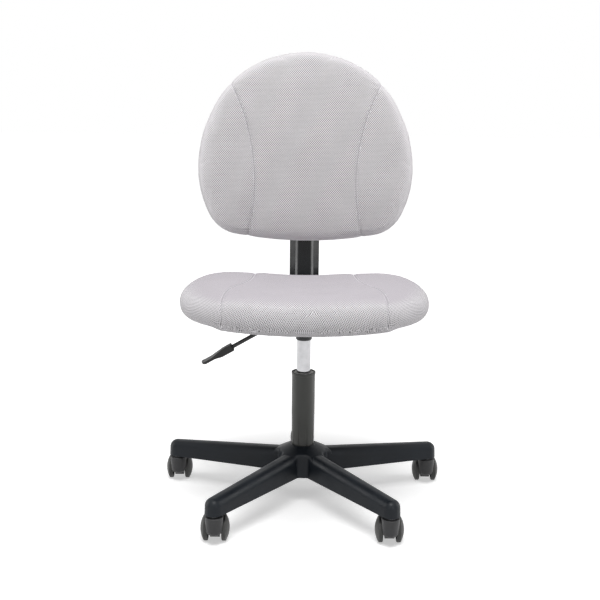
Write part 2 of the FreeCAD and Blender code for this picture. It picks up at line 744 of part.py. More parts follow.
# Seat plate and what is welded to it. Seat pieces are modelled level, with zero at the
# plate's top face, and then tilted back about the gas lift.
def to_seat(shape):
    result = shape.copy()
    result.rotate(Vector(), X_AXIS, -SEAT_TILT)
    result.translate(Z_AXIS * plate_top)
    return result


def seat_bolt_places():
    side = SEAT_BOLT_SPAN_X / 2
    return [(x, y) for x in (-side, side) for y in (-SEAT_BOLT_FRONT, SEAT_BOLT_REAR)]


def bar_bolt_places():
    return [BAR_START + BAR_BOLT_FIRST + BAR_BOLT_STEP * step for step in range(BAR_BOLT_COUNT)]


def lever_direction():
    slope = math.radians(LEVER_SLOPE)
    return Vector(-math.cos(slope), 0, -math.sin(slope))


def lever_window(deep):
    """Gap that the lever sweeps through the tub's side wall and its bracket."""
    outside = -TUB_WIDTH / 2
    half = lever_radius + WINDOW_PLAY
    steep = math.tan(math.radians(LEVER_SLOPE))
    run = -lever_arm - outside + deep
    low = lever_height - run * steep - half
    return block(outside - CUT, outside + deep, -half, half, low, lever_height + half)


def seat_plate():
    """Pressed pan: a flange under the board round a deep tub for the lift and the lever."""
    side, gauge = PLATE_WIDTH / 2, PLATE_GAUGE
    tub_side = TUB_WIDTH / 2
    flange = rounded_plate(-side, side, -PLATE_FRONT, PLATE_REAR, -PLATE_RIM, 0, PLATE_CORNER)
    under = rounded_plate(gauge - side, side - gauge, gauge - PLATE_FRONT, PLATE_REAR - gauge,
                          -PLATE_RIM, -gauge, PLATE_CORNER - gauge)
    tub = rounded_plate(-tub_side, tub_side, -TUB_FRONT, TUB_REAR, -PLATE_DEPTH, 0, TUB_CORNER)
    inside = rounded_plate(gauge - tub_side, tub_side - gauge, gauge - TUB_FRONT, TUB_REAR - gauge,
                           gauge - PLATE_DEPTH, CUT, TUB_CORNER - gauge)
    solid = flange.cut(under).fuse(tub).cut(inside)
    hole = SMALL_BOLT / 2 + CLOSE_FIT
    holes = [pillar(hole, -PLATE_RIM, CUT, x, y) for x, y in seat_bolt_places()]
    wide = LARGE_BOLT / 2 + CLOSE_FIT
    holes += [pillar(wide, -PLATE_DEPTH - CUT, 0, 0, y) for y in bar_bolt_places()]
    solid = to_seat(solid.cut(holes))
    socket = pillar(SOCKET_DIAMETER / 2 + CLOSE_FIT, socket_bottom, socket_top)
    return solid.cut([socket, lever_window(PLATE_GAUGE + BRACKET_GAUGE)]).removeSplitter()


def taper_socket():
    low, high = taper_radius(socket_bottom) + CLOSE_FIT, taper_radius(socket_top) + CLOSE_FIT
    outer = SOCKET_DIAMETER / 2
    lip = min(SOCKET_LIP, outer - low - CLOSE_FIT)
    return turned([(low, socket_bottom, 0), (outer, socket_bottom, lip), (outer, socket_top, 0), (high, socket_top, 0)])


def lever_bracket():
    """Two ears on a plate welded inside the tub's side wall, which carry the pivot pin."""
    wall = -tub_wall
    near = BARREL_LENGTH / 2 + EAR_PLAY
    far = near + EAR_GAUGE
    low = lever_height - EAR_RADIUS
    plate = block(wall, wall + BRACKET_GAUGE, -far, far, low, lever_height + BRACKET_TOP)
    ears = []
    for start, end in ((-far, -near), (near, far)):
        ear = block(wall, -lever_arm, start, end, low, lever_height + EAR_RADIUS)
        ears.append(ear.fuse(bar_y(EAR_RADIUS, start, end, -lever_arm, lever_height)))
    hole = bar_y(PIVOT_DIAMETER / 2 + CLOSE_FIT, -far, far, -lever_arm, lever_height)
    return plate.fuse(ears).cut([hole, lever_window(PLATE_GAUGE + BRACKET_GAUGE)]).removeSplitter()


def pivot_pin():
    far = BARREL_LENGTH / 2 + EAR_PLAY + EAR_GAUGE
    pin = bar_y(PIVOT_DIAMETER / 2, -far - PIVOT_POKE, far, -lever_arm, lever_height)
    head = bar_y(PIVOT_HEAD / 2, far, far + PIVOT_HEAD_HEIGHT, -lever_arm, lever_height)
    return pin.fuse(head)


# Height lever
def lever_rod():
    """Rod with a flat tongue over the release pin, a pivot barrel and a sloping outer end."""
    tip = LEVER_OVERHANG
    half = LEVER_FLAT / 2
    tongue_start = tip - LEVER_TONGUE_LENGTH
    tongue = rounded_plate(tongue_start, tip, -LEVER_TONGUE / 2, LEVER_TONGUE / 2,
                           lever_height - half, lever_height + half, LEVER_TONGUE_ROUND)
    inner = bar_x(lever_radius, -lever_arm, tongue_start + LEVER_TONGUE / 2, 0, lever_height)
    barrel = bar_y(BARREL_DIAMETER / 2, -BARREL_LENGTH / 2, BARREL_LENGTH / 2, -lever_arm, lever_height)
    pivot = Vector(-lever_arm, 0, lever_height)
    outer = Part.makeCylinder(lever_radius, LEVER_REACH + PADDLE_BITE, pivot, lever_direction())
    bore = bar_y(PIVOT_DIAMETER / 2 + RUN_FIT, -BARREL_LENGTH, BARREL_LENGTH, -lever_arm, lever_height)
    return tongue.fuse([inner, barrel, outer]).cut(bore).removeSplitter()


def lever_paddle():
    """Moulded grip: a thick socket on the rod, stepped under into a thin blade with a raised end."""
    along = lever_direction()
    up = Vector(along.z, 0, -along.x)
    base = Vector(-lever_arm, 0, lever_height) + along * LEVER_REACH
    half, thin = PADDLE_THICK / 2, PADDLE_BLADE / 2
    blade_start = PADDLE_SOCKET + PADDLE_STEP
    flick = PADDLE_LENGTH - PADDLE_FLICK
    side = [(0, -half, PADDLE_EDGE), (PADDLE_SOCKET, -half, PADDLE_THROAT)]
    side += [(blade_start, -thin, PADDLE_UNDER_SWEEP), (flick, -thin, PADDLE_FLICK_SWEEP)]
    side += [(PADDLE_LENGTH, PADDLE_LIFT - thin, PADDLE_TOE), (PADDLE_LENGTH, PADDLE_LIFT + thin, PADDLE_EDGE)]
    side += [(flick, thin, PADDLE_FLICK_SWEEP), (blade_start + PADDLE_EASE, thin, PADDLE_OVER_SWEEP)]
    side += [(PADDLE_SOCKET - PADDLE_EASE, half, PADDLE_OVER_SWEEP), (0, half, PADDLE_EDGE)]
    edge = Y_AXIS * (-PADDLE_WIDTH / 2)
    wire = rounded_wire([(base + along * u + up * v + edge, r) for u, v, r in side])
    profile = Part.Face(wire).extrude(Y_AXIS * PADDLE_WIDTH)
    neck, wide = PADDLE_NECK / 2, PADDLE_WIDTH / 2
    plan = [(0, -neck, PADDLE_MOUTH_ROUND), (PADDLE_SOCKET, -neck, PADDLE_WAIST_ROUND)]
    plan += [(blade_start, -wide, PADDLE_SHOULDER), (PADDLE_LENGTH, -wide, PADDLE_TIP_ROUND)]
    plan += [(u, -v, r) for u, v, r in reversed(plan)]
    low = base - up * PADDLE_LENGTH
    wire = rounded_wire([(low + along * u + Y_AXIS * v, r) for u, v, r in plan])
    outline = Part.Face(wire).extrude(up * (2 * PADDLE_LENGTH))
    rod = Part.makeCylinder(lever_radius + CLOSE_FIT, PADDLE_BITE + CUT, base - along * CUT, along)
    return profile.common(outline).cut(rod)


# Padded forms. An outline is a chain of tangent arcs, given by where the outward normal
# passes from one arc to the next; the corner radii are set and the others follow from the
# width and the length.
def outline_arcs(width, length, turns, corners):
    angles = [math.radians(turn) for turn in turns]
    spans = list(zip(angles, angles[1:]))
    sums = []
    for high, low in spans:
        front = math.cos(max(low, 0)) - math.cos(max(high, 0))
        rear = math.cos(min(high, 0)) - math.cos(min(low, 0))
        sums.append(Vector(front, rear, math.sin(high) - math.sin(low)))
    wanted = Vector(width / 2, width / 2, length)
    for index, radius in corners.items():
        wanted = wanted - sums[index] * radius
    free = [index for index in range(len(spans)) if index not in corners]
    a, b, c = [sums[index] for index in free]
    grid = FreeCAD.Matrix(a.x, b.x, c.x, 0, a.y, b.y, c.y, 0, a.z, b.z, c.z, 0, 0, 0, 0, 1)
    solved = grid.inverse().multVec(wanted)
    radii = dict(corners)
    radii.update(zip(free, (solved.x, solved.y, solved.z)))
    point, arcs = Vector(), []
    for index, (high, low) in enumerate(spans):
        radius = radii[index]
        centre = point - Vector(math.cos(high), math.sin(high)) * radius
        half = (high + low) / 2
        middle = centre + Vector(math.cos(half), math.sin(half)) * radius
        end = centre + Vector(math.cos(low), math.sin(low)) * radius
        arcs.append((point, middle, end))
        point = end
    return arcs


def outline_wire(arcs, inset, width, place):
    """Closed wire of the mirrored arcs, drawn in evenly towards the outline's middle."""
    scale = 1 - 2 * inset / width
    middle = max(arcs, key=lambda arc: arc[1].x)[1].y

    def put(point, side):
        return place(side * point.x * scale, middle + (point.y - middle) * scale)

    edges = [Part.Arc(put(a, 1), put(m, 1), put(b, 1)).toShape() for a, m, b in arcs]
    edges += [Part.Arc(put(b, -1), put(m, -1), put(a, -1)).toShape() for a, m, b in reversed(arcs)]
    return Part.Wire(edges)


def crown_steps(reach, crown, steps):
    """Inset and height share of a padded crown, from its widest line to its flat middle."""
    power = 2 / crown
    result = []
    for angle in steps:
        turn = math.radians(angle)
        result.append((reach * (1 - math.cos(turn) ** power), math.sin(turn) ** power))
    return result


def padded_loft(wires):
    """Smooth solid through the outlines, of low degree so that it doesn't ripple."""
    return Part.makeLoft(wires, True, False, False, 3)


def seat_arcs():
    return outline_arcs(SEAT_WIDTH, SEAT_DEPTH, SEAT_TURNS, {1: SEAT_FRONT_CORNER, 3: SEAT_REAR_CORNER})


def seat_level(front, rear):
    """Places outline points on a plane that rises from the rear edge to the front edge."""
    def place(x, up):
        y = -SEAT_FRONT - up
        share = (y + SEAT_FRONT) / SEAT_DEPTH
        return Vector(x, y, board_low + front + (rear - front) * share)
    return place


def seat_prism(inset, low, high):
    def place(x, up):
        return Vector(x, -SEAT_FRONT - up, low)
    return Part.Face(outline_wire(seat_arcs(), inset, SEAT_WIDTH, place)).extrude(Z_AXIS * (high - low))


def seat_dish(shrink):
    """Round-bottomed hollow between the side bolsters, which runs out at the front roll."""
    radius = (SEAT_DISH_WIDTH ** 2 / 4 + SEAT_DISH_DEPTH ** 2) / (2 * SEAT_DISH_DEPTH)
    base = board_low + radius - shrink
    rear = Vector(0, SEAT_DEPTH - SEAT_FRONT, base + SEAT_REAR_RISE - SEAT_DISH_DEPTH)
    front = Vector(0, -SEAT_FRONT, base + SEAT_FRONT_RISE)
    run = front - rear
    past = SEAT_DISH_OVERRUN
    return Part.makeCylinder(radius, run.Length * (1 + 2 * past), rear - run * past, run)


def seat_form(shrink):
    """Seat padding: drawn-in foot, full belly and a dished crown that rises to the front roll."""
    middle = SEAT_BELLY * BELLY_SHARE
    levels = [(SEAT_UNDERCUT, -SEAT_FRONT_LIP, 0)]
    levels.append((SEAT_UNDERCUT * UNDERCUT_SHARE, middle - SEAT_FRONT_LIP * BELLY_SHARE, middle))
    levels.append((0, SEAT_BELLY, SEAT_BELLY))
    front, rear = SEAT_FRONT_RISE - SEAT_BELLY - shrink, SEAT_REAR_RISE - SEAT_BELLY - shrink
    for inset, share in crown_steps(SEAT_WIDTH / 2, SEAT_CROWN, CROWN_ANGLES):
        levels.append((inset, SEAT_BELLY + front * share, SEAT_BELLY + rear * share))
    arcs = seat_arcs()
    wires = [outline_wire(arcs, inset + shrink, SEAT_WIDTH, seat_level(a, b)) for inset, a, b in levels]
    return padded_loft(wires).cut(seat_dish(shrink))


def tee_pockets(places, top):
    """Room in the padding over the tee nuts and the bolt ends."""
    radius = TEE_FLANGE / 2 + TEE_ROOM
    deep = TEE_GAUGE + BOLT_POKE + TEE_ROOM
    return [pillar(radius, top, top + deep, x, y) for x, y in places]


def seat_seam(side):
    """Thin upright strip along one sewn seam of the seat."""
    rear = Vector(side * SEAT_SEAM_REAR, SEAT_DEPTH - SEAT_FRONT, 0)
    front = Vector(side * SEAT_SEAM_FRONT, -SEAT_FRONT, 0)
    along = (front - rear).normalize()
    across = Vector(-along.y, along.x, 0) * (SEAM_WIDTH / 2)
    rear, front = rear - along * SEAM_WIDTH, front + along * SEAM_WIDTH
    wire = Part.makePolygon([rear - across, front - across, front + across, rear + across, rear - across])
    wire.translate(Z_AXIS * (-SEAT_FRONT_LIP))
    return Part.Face(wire).extrude(Z_AXIS * (2 * SEAT_FRONT_RISE))


def seat_cushion():
    form = seat_form(0)
    core = seat_form(SEAM_DEPTH)
    grooves = [seat_seam(side).cut(core) for side in (-1, 1)]
    pocket = seat_prism(SEAT_BOARD_INSET - CLOSE_FIT, -SEAT_FRONT_LIP - CUT, board_high + CLOSE_FIT)
    cuts = grooves + [pocket] + tee_pockets(seat_bolt_places(), board_high)
    return to_seat(form.cut(cuts))


def seat_board():
    board = seat_prism(SEAT_BOARD_INSET, board_low, board_high)
    hole = TEE_BARREL / 2 + CLOSE_FIT
    return to_seat(board.cut([pillar(hole, board_low, board_high, x, y) for x, y in seat_bolt_places()]))


def under_cloth():
    cloth = seat_prism(CLOTH_INSET, 0, CLOTH_GAUGE)
    hole = SMALL_BOLT / 2 + CLOSE_FIT
    return to_seat(cloth.cut([pillar(hole, 0, CLOTH_GAUGE, x, y) for x, y in seat_bolt_places()]))


def tee_nut(top, x, y, depth):
    """Flange on the board's far face and a barrel down into the board."""
    bore = SMALL_BOLT / 2 + CLOSE_FIT
    flange = pillar(TEE_FLANGE / 2, top, top + TEE_GAUGE, x, y)
    barrel = pillar(TEE_BARREL / 2, top - depth, top, x, y)
    return flange.fuse(barrel).cut(pillar(bore, top - depth, top + TEE_GAUGE, x, y)).removeSplitter()


def seat_tee_nuts():
    depth = BOARD_GAUGE - TEE_COVER
    return group([to_seat(tee_nut(board_high, x, y, depth)) for x, y in seat_bolt_places()])


def hex_bolt(diameter, flats, head, low, high, x, y):
    """Bolt whose head hangs below its seat at the low height."""
    return hexagon(flats, low - head, low, x, y).fuse(pillar(diameter / 2, low, high, x, y))


def seat_bolts():
    low, high = -PLATE_GAUGE, board_high + TEE_GAUGE + BOLT_POKE
    bolts = []
    for x, y in seat_bolt_places():
        bolts.append(to_seat(hex_bolt(SMALL_BOLT, SMALL_HEX, SMALL_HEX_HEIGHT, low, high, x, y)))
    return group(bolts)


# Back bar: a pressed strip that runs back under the seat, bends up and carries the back
tilt = math.radians(SEAT_TILT)
recline = math.radians(BACK_RECLINE)
bar_back = Vector(0, math.cos(tilt), -math.sin(tilt))
bar_under = Vector(0, -math.sin(tilt), -math.cos(tilt))
bar_up = Vector(0, math.sin(recline), math.cos(recline))
bar_behind = Vector(0, math.cos(recline), -math.sin(recline))
bar_turn = 90 - BACK_RECLINE + SEAT_TILT
bar_foot = Vector(0, 0, plate_top) + bar_under * PLATE_DEPTH + bar_back * BAR_START
bend_start = bar_foot + bar_back * bar_run
bend_centre = bend_start - bar_under * BAR_BEND
back_foot = bend_centre + bar_behind * BAR_BEND


def bar_section(origin, depth_axis):
    """Section of the strip: raised flat rib, sloping sides and shallow wings."""
    rib, slope = BAR_RIB_WIDTH / 2, BAR_RIB_WIDTH / 2 + BAR_RIB_SLOPE
    wing, gauge = BAR_WIDTH / 2, BAR_GAUGE
    wing_depth = BAR_RIB_DEPTH + BAR_WING_DROP
    shift = gauge * math.tan(math.atan2(BAR_RIB_DEPTH, BAR_RIB_SLOPE) / 2)
    edge, fold, valley = gauge * BAR_EDGE_SHARE, gauge * BAR_FOLD_SHARE, gauge * BAR_VALLEY_SHARE
    right = [(rib, 0, fold), (slope, BAR_RIB_DEPTH, valley), (wing, wing_depth, edge)]
    right += [(wing, wing_depth + gauge, edge), (slope - shift, BAR_RIB_DEPTH + gauge, fold)]
    right += [(rib - shift, gauge, edge)]
    left = [(-x, depth, corner) for x, depth, corner in reversed(right)]
    return Part.Face(rounded_wire([(origin + X_AXIS * x + depth_axis * d, c) for x, d, c in right + left]))


def back_bar():
    run = bar_section(bar_foot, bar_under).extrude(bar_back * bar_run)
    bend = bar_section(bend_start, bar_under).revolve(bend_centre, X_AXIS, bar_turn)
    rise = bar_section(back_foot, bar_behind).extrude(bar_up * BAR_RISE)
    side, depth = BAR_WIDTH / 2, bar_depth + CUT
    rise = rise.common(to_back(plate_upright(-side, side, -BAR_RISE, BAR_RISE, -CUT, depth, BAR_CORNER)))
    lower = rounded_plate(-side, side, BAR_START, BAR_START + 2 * bar_run, -PLATE_DEPTH - depth,
                          CUT - PLATE_DEPTH, BAR_CORNER)
    run = run.common(to_seat(lower))
    bar = run.fuse([bend, rise]).removeSplitter()
    small = SMALL_BOLT / 2 + CLOSE_FIT
    large = LARGE_BOLT / 2 + CLOSE_FIT
    holes = [to_back(bar_y(small, -CUT, depth, 0, v)) for v in back_bolt_places()]
    holes += [to_seat(pillar(large, -PLATE_DEPTH - depth, CUT - PLATE_DEPTH, 0, y)) for y in bar_bolt_places()]
    return bar.cut(holes)


def bar_bolts():
    low = -PLATE_DEPTH - BAR_GAUGE
    high = PLATE_GAUGE - PLATE_DEPTH + LARGE_NUT_HEIGHT + BOLT_POKE
    bolts = []
    for y in bar_bolt_places():
        bolts.append(to_seat(hex_bolt(LARGE_BOLT, LARGE_HEX, LARGE_HEX_HEIGHT, low, high, 0, y)))
    return group(bolts)


def bar_nuts():
    low = PLATE_GAUGE - PLATE_DEPTH
    bore = LARGE_BOLT / 2 + CLOSE_FIT
    nuts = []
    for y in bar_bolt_places():
        nut = hexagon(LARGE_HEX, low, low + LARGE_NUT_HEIGHT, 0, y)
        nuts.append(to_seat(nut.cut(pillar(bore, low, low + LARGE_NUT_HEIGHT, 0, y))))
    return group(nuts)


# Back. Its pieces are modelled upright, with Y running to the rear from the bar's front
# face and Z up from the end of the bend, and then leaned back with the bar.
back_top = BACK_START + BACK_HEIGHT


def to_back(shape):
    result = shape.copy()
    result.rotate(Vector(), X_AXIS, -BACK_RECLINE)
    result.translate(back_foot)
    return result


def plate_upright(x0, x1, z0, z1, y0, y1, corner):
    points = [Vector(x0, y0, z0), Vector(x1, y0, z0), Vector(x1, y0, z1), Vector(x0, y0, z1)]
    return Part.Face(rounded_wire([(p, corner) for p in points])).extrude(Y_AXIS * (y1 - y0))


def back_bolt_places():
    return [BACK_START + BACK_BOLT_FIRST + BACK_BOLT_STEP * step for step in range(BACK_BOLT_COUNT)]


def back_arcs():
    return outline_arcs(BACK_WIDTH, BACK_HEIGHT, BACK_TURNS, {2: BACK_CORNER})


def back_level(top, foot):
    """Places outline points in front of the bar on a plane that leans with the padding."""
    def place(x, up):
        share = -up / BACK_HEIGHT
        return Vector(x, -(top + (foot - top) * share), back_top + up)
    return place


def back_prism(inset, near, far):
    """Flat plate of the back's outline between two distances behind the bar's face."""
    def place(x, up):
        return Vector(x, near, back_top + up)
    return Part.Face(outline_wire(back_arcs(), inset, BACK_WIDTH, place)).extrude(Y_AXIS * (far - near))


def back_form(shrink):
    """Back padding: drawn-in rear edge, full belly and a crown, deepest at the loins."""
    middle = BACK_BELLY * BELLY_SHARE
    levels = [(BACK_UNDERCUT, BACK_REAR_EDGE, BACK_REAR_EDGE)]
    levels.append((BACK_UNDERCUT * UNDERCUT_SHARE, middle, middle))
    levels.append((0, BACK_BELLY, BACK_BELLY))
    top, foot = BACK_TOP_DEPTH - BACK_BELLY - shrink, BACK_FOOT_DEPTH - BACK_BELLY - shrink
    for inset, share in crown_steps(BACK_WIDTH / 2, BACK_CROWN, CROWN_ANGLES):
        levels.append((inset, BACK_BELLY + top * share, BACK_BELLY + foot * share))
    arcs = back_arcs()
    wires = [outline_wire(arcs, inset + shrink, BACK_WIDTH, back_level(a, b)) for inset, a, b in levels]
    return padded_loft(wires)


def back_seam(side):
    """Thin curved strip along one sewn seam, closest to the middle at the waist."""
    centre = side * (BACK_SEAM_WAIST + BACK_SEAM_RADIUS)
    height = BACK_START + BACK_SEAM_RISE
    half = SEAM_WIDTH / 2
    near = -2 * BACK_FOOT_DEPTH
    outer = bar_y(BACK_SEAM_RADIUS + half, near, 0, centre, height)
    return outer.cut(bar_y(BACK_SEAM_RADIUS - half, near, 0, centre, height))


def back_cushion():
    form = back_form(0)
    core = back_form(SEAM_DEPTH)
    grooves = [back_seam(side).cut(core) for side in (-1, 1)]
    front = -BACK_BOARD_GAUGE - CLOSE_FIT
    pocket = back_prism(BACK_BOARD_INSET - CLOSE_FIT, front, CUT)
    radius = TEE_FLANGE / 2 + TEE_ROOM
    deep = front - TEE_GAUGE - BOLT_POKE - TEE_ROOM
    rooms = [bar_y(radius, deep, front, 0, v) for v in back_bolt_places()]
    return to_back(form.cut(grooves + [pocket] + rooms))


def screw_places():
    side = COVER_SCREW_SPAN / 2
    heights = (BACK_START + COVER_SCREW_LOW, BACK_START + COVER_SCREW_HIGH)
    return [(x, z) for x in (-side, side) for z in heights]


def back_board():
    board = back_prism(BACK_BOARD_INSET, -BACK_BOARD_GAUGE, 0)
    barrel, pilot = TEE_BARREL / 2 + CLOSE_FIT, SCREW_DIAMETER / 2 + CLOSE_FIT
    holes = [bar_y(barrel, -BACK_BOARD_GAUGE, 0, 0, v) for v in back_bolt_places()]
    holes += [bar_y(pilot, -SCREW_BITE - CLOSE_FIT, 0, x, z) for x, z in screw_places()]
    return to_back(board.cut(holes))


def laid_back(shape, height):
    """Turns a piece made along +Z so that it points forwards, at a height on the back."""
    result = shape.copy()
    result.rotate(Vector(), X_AXIS, 90)
    result.translate(Z_AXIS * height)
    return to_back(result)


def back_tee_nuts():
    depth = BACK_BOARD_GAUGE - TEE_COVER
    return group([laid_back(tee_nut(BACK_BOARD_GAUGE, 0, 0, depth), v) for v in back_bolt_places()])


def back_bolts():
    high = BACK_BOARD_GAUGE + TEE_GAUGE + BOLT_POKE
    bolt = hex_bolt(SMALL_BOLT, SMALL_HEX, SMALL_HEX_HEIGHT, -BAR_GAUGE, high, 0, 0)
    return group([laid_back(bolt, v) for v in back_bolt_places()])


def cover_form(inset, depth):
    wires = []
    for extra, share in [(0, 0)] + crown_steps(BACK_WIDTH / 2, COVER_CROWN, COVER_ANGLES):
        def place(x, up, far=depth * share):
            return Vector(x, far, back_top + up)
        wires.append(outline_wire(back_arcs(), inset + extra * (1 - COVER_FLAT), BACK_WIDTH, place))
    return padded_loft(wires)


def back_cover():
    """Dished rear shell with a channel for the bar and a screw boss near each corner."""
    outer = cover_form(COVER_INSET, COVER_DEPTH)
    skin = outer.cut(cover_form(COVER_INSET + COVER_WALL, COVER_DEPTH - COVER_WALL))
    room = BAR_WIDTH / 2 + COVER_CHANNEL_PLAY
    end = BAR_RISE + COVER_CHANNEL_PLAY
    wall = room + COVER_WALL
    channel = plate_upright(-wall, wall, 0, end + COVER_WALL, 0, 2 * COVER_DEPTH, BAR_CORNER + COVER_WALL)
    slot = plate_upright(-room, room, -BACK_START, end, -CUT, 3 * COVER_DEPTH, BAR_CORNER)
    posts = [bar_y(COVER_BOSS / 2, 0, 2 * COVER_DEPTH, x, z) for x, z in screw_places()]
    solid = skin.fuse([part.common(outer) for part in [channel] + posts])
    cuts = [slot]
    for x, z in screw_places():
        cuts.append(bar_y(SCREW_DIAMETER / 2 + CLOSE_FIT, -CUT, SCREW_SEAT, x, z))
        cuts.append(bar_y(SCREW_HEAD / 2 + SCREW_ROOM, SCREW_SEAT, 3 * COVER_DEPTH, x, z))
    return to_back(solid.cut(cuts).removeSplitter())


def cover_screws():
    screws = []
    for x, z in screw_places():
        shank = bar_y(SCREW_DIAMETER / 2, -SCREW_BITE, SCREW_SEAT, x, z)
        head = bar_y(SCREW_HEAD / 2, SCREW_SEAT, SCREW_SEAT + SCREW_HEAD_HEIGHT, x, z)
        screws.append(to_back(shank.fuse(head)))
    return group(screws)


nodes = {
    "star_base": star_base(),
    "standpipe": standpipe(),
    "guide_sleeve": guide_sleeve(),
    "lower_race": bearing_race(race_low),
    "thrust_bearing": thrust_bearing(),
    "upper_race": bearing_race(race_high),
    "piston_rod": piston_rod(),
    "piston_head": piston_head(),
    "bump_stop": bump_stop(),
    "rod_clip": rod_clip(),
    "pressure_tube": pressure_tube(),
    "tube_plug": tube_plug(),
    "valve_block": valve_block(),
    "release_pin": release_pin(),
    "taper_socket": taper_socket(),
    "seat_plate": seat_plate(),
    "lever_bracket": lever_bracket(),
    "pivot_pin": pivot_pin(),
    "lever_rod": lever_rod(),
    "lever_paddle": lever_paddle(),
    "seat_board": seat_board(),
    "under_cloth": under_cloth(),
    "seat_cushion": seat_cushion(),
    "seat_tee_nuts": seat_tee_nuts(),
    "seat_bolts": seat_bolts(),
    "back_bar": back_bar(),
    "bar_bolts": bar_bolts(),
    "bar_nuts": bar_nuts(),
    "back_board": back_board(),
    "back_cushion": back_cushion(),
    "back_tee_nuts": back_tee_nuts(),
    "back_bolts": back_bolts(),
    "back_cover": back_cover(),
    "cover_screws": cover_screws(),
}

caster_pieces = {
    "caster_body": caster_body(),
    "caster_stem": caster_stem(),
    "caster_axle": caster_axle(),
    "wheel_left": wheel(-1),
    "wheel_right": wheel(1),
}
for index, name in enumerate(ARM_NAMES):
    angle = math.radians(ARM_FIRST_ANGLE + 360.0 * index / ARM_COUNT)
    for piece, shape in caster_pieces.items():
        x, y = BASE_RADIUS * math.cos(angle), BASE_RADIUS * math.sin(angle)
        nodes[piece + "_" + name] = moved(shape, x, y)

os.makedirs("parts", exist_ok=True)
for name, shape in nodes.items():
    shape.exportStep(os.path.join("parts", name + ".step"))
print(len(nodes), "pieces written")
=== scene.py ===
# %% [markdown]
# # Dressing an armless task chair
# The real object is a light office chair: a padded seat and back in pale grey spacer mesh, a black
# pressed steel bar between them, a chrome gas lift in a black pipe, and a five arm nylon base on
# twin wheel casters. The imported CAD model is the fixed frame. Rigid pieces keep their CAD meshes
# and get finishes. The two cushions and the dust cloth are sewn goods, so they are made here.

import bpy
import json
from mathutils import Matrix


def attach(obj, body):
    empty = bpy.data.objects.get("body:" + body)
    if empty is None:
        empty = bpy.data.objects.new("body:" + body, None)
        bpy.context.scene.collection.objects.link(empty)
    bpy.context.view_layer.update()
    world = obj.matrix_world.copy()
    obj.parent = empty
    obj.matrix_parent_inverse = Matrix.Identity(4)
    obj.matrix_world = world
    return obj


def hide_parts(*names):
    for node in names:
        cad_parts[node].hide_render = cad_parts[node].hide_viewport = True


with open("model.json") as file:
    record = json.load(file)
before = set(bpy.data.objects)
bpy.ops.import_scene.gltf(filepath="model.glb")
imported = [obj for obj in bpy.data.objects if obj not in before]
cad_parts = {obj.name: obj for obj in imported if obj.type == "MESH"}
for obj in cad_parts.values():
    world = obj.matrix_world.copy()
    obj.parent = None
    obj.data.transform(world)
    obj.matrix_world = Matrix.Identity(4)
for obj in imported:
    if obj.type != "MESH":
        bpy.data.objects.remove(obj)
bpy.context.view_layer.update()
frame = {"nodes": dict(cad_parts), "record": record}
nodes = frame["nodes"]

# %% Tools
import json
import math

import bmesh
import bpy
import numpy as np
from mathutils import Matrix, Vector
from mathutils.bvhtree import BVHTree

scene = bpy.context.scene
scene.view_settings.view_transform = "Standard"
MM = 0.001

# %% [markdown]
# ## The camera
# The chair was photographed from straight in front, a little above the seat, with a long lens. A
# camera could be placed by eye, but its height and pitch follow from the ellipses of the base and
# the known sizes of the casters, so the place is written as numbers. The photographed chair leans
# a fraction of a degree, which a small roll of the camera shares out.

# %% Camera
CAMERA_PLACE = Vector((-0.0087, -2.063, 0.873))
CAMERA_PITCH = 12.35
CAMERA_ROLL = 0.6
CAMERA_LENS = 63.48

lens = bpy.data.cameras.new("camera")
lens.lens = CAMERA_LENS
camera = bpy.data.objects.new("camera", lens)
scene.collection.objects.link(camera)
aim = Matrix.Rotation(math.radians(90 - CAMERA_PITCH), 4, "X")
roll = Matrix.Rotation(math.radians(CAMERA_ROLL), 4, "Z")
camera.matrix_world = Matrix.Translation(CAMERA_PLACE) @ aim @ roll
scene.camera = camera
print("camera at", tuple(CAMERA_PLACE), "lens", CAMERA_LENS)

# %% [markdown]
# ## Finishes for the rigid pieces
# Every finish is a small tree of shader nodes. A picture of plastic or paint could be wrapped on,
# but procedural noise has no seams, keeps its real scale in metres, and needs no unwrapping. A few
# helpers keep the trees short: they add a node, mix two colours, stretch a range, make noise of a
# real size, and turn a height into a bump.

# %% Helpers for shader nodes
def ink(red, green, blue):
    """A colour from 0 to 255 screen values, as the linear values that a shader takes."""
    linear = []
    for part in (red, green, blue):
        value = part / 255
        linear.append(value / 12.92 if value <= 0.04045 else ((value + 0.055) / 1.055) ** 2.4)
    return (*linear, 1.0)


def scaled(colour, share):
    """A colour with its light scaled by a share."""
    return (*(channel * share for channel in colour[:3]), 1.0)


def put(tree, kind, inputs=None, **settings):
    """Adds a shader node, sets its options, and sets or links its inputs."""
    made = tree.nodes.new("ShaderNode" + kind)
    for name, value in settings.items():
        setattr(made, name, value)
    for key, value in (inputs or {}).items():
        if isinstance(value, bpy.types.NodeSocket):
            tree.links.new(value, made.inputs[key])
        else:
            made.inputs[key].default_value = value
    return made


def tint(tree, share, first, second):
    return put(tree, "Mix", {0: share, 6: first, 7: second}, data_type="RGBA").outputs[2]


def ranged(tree, value, low, high, out_low, out_high, kind="LINEAR"):
    inputs = {0: value, 1: low, 2: high, 3: out_low, 4: out_high}
    return put(tree, "MapRange", inputs, interpolation_type=kind).outputs[0]


def times(tree, first, second):
    return put(tree, "Math", {0: first, 1: second}, operation="MULTIPLY").outputs[0]


def grain(tree, scale, detail=2.0, stretch=(1, 1, 1)):
    """Noise in metres: a scale of 1000 gives marks of about a millimetre."""
    place = put(tree, "TexCoord").outputs["Object"]
    place = put(tree, "Mapping", {"Vector": place, "Scale": stretch}).outputs[0]
    return put(tree, "TexNoise", {"Vector": place, "Scale": scale, "Detail": detail}).outputs[0]


NOISE_LOW = 0.3
NOISE_HIGH = 0.7


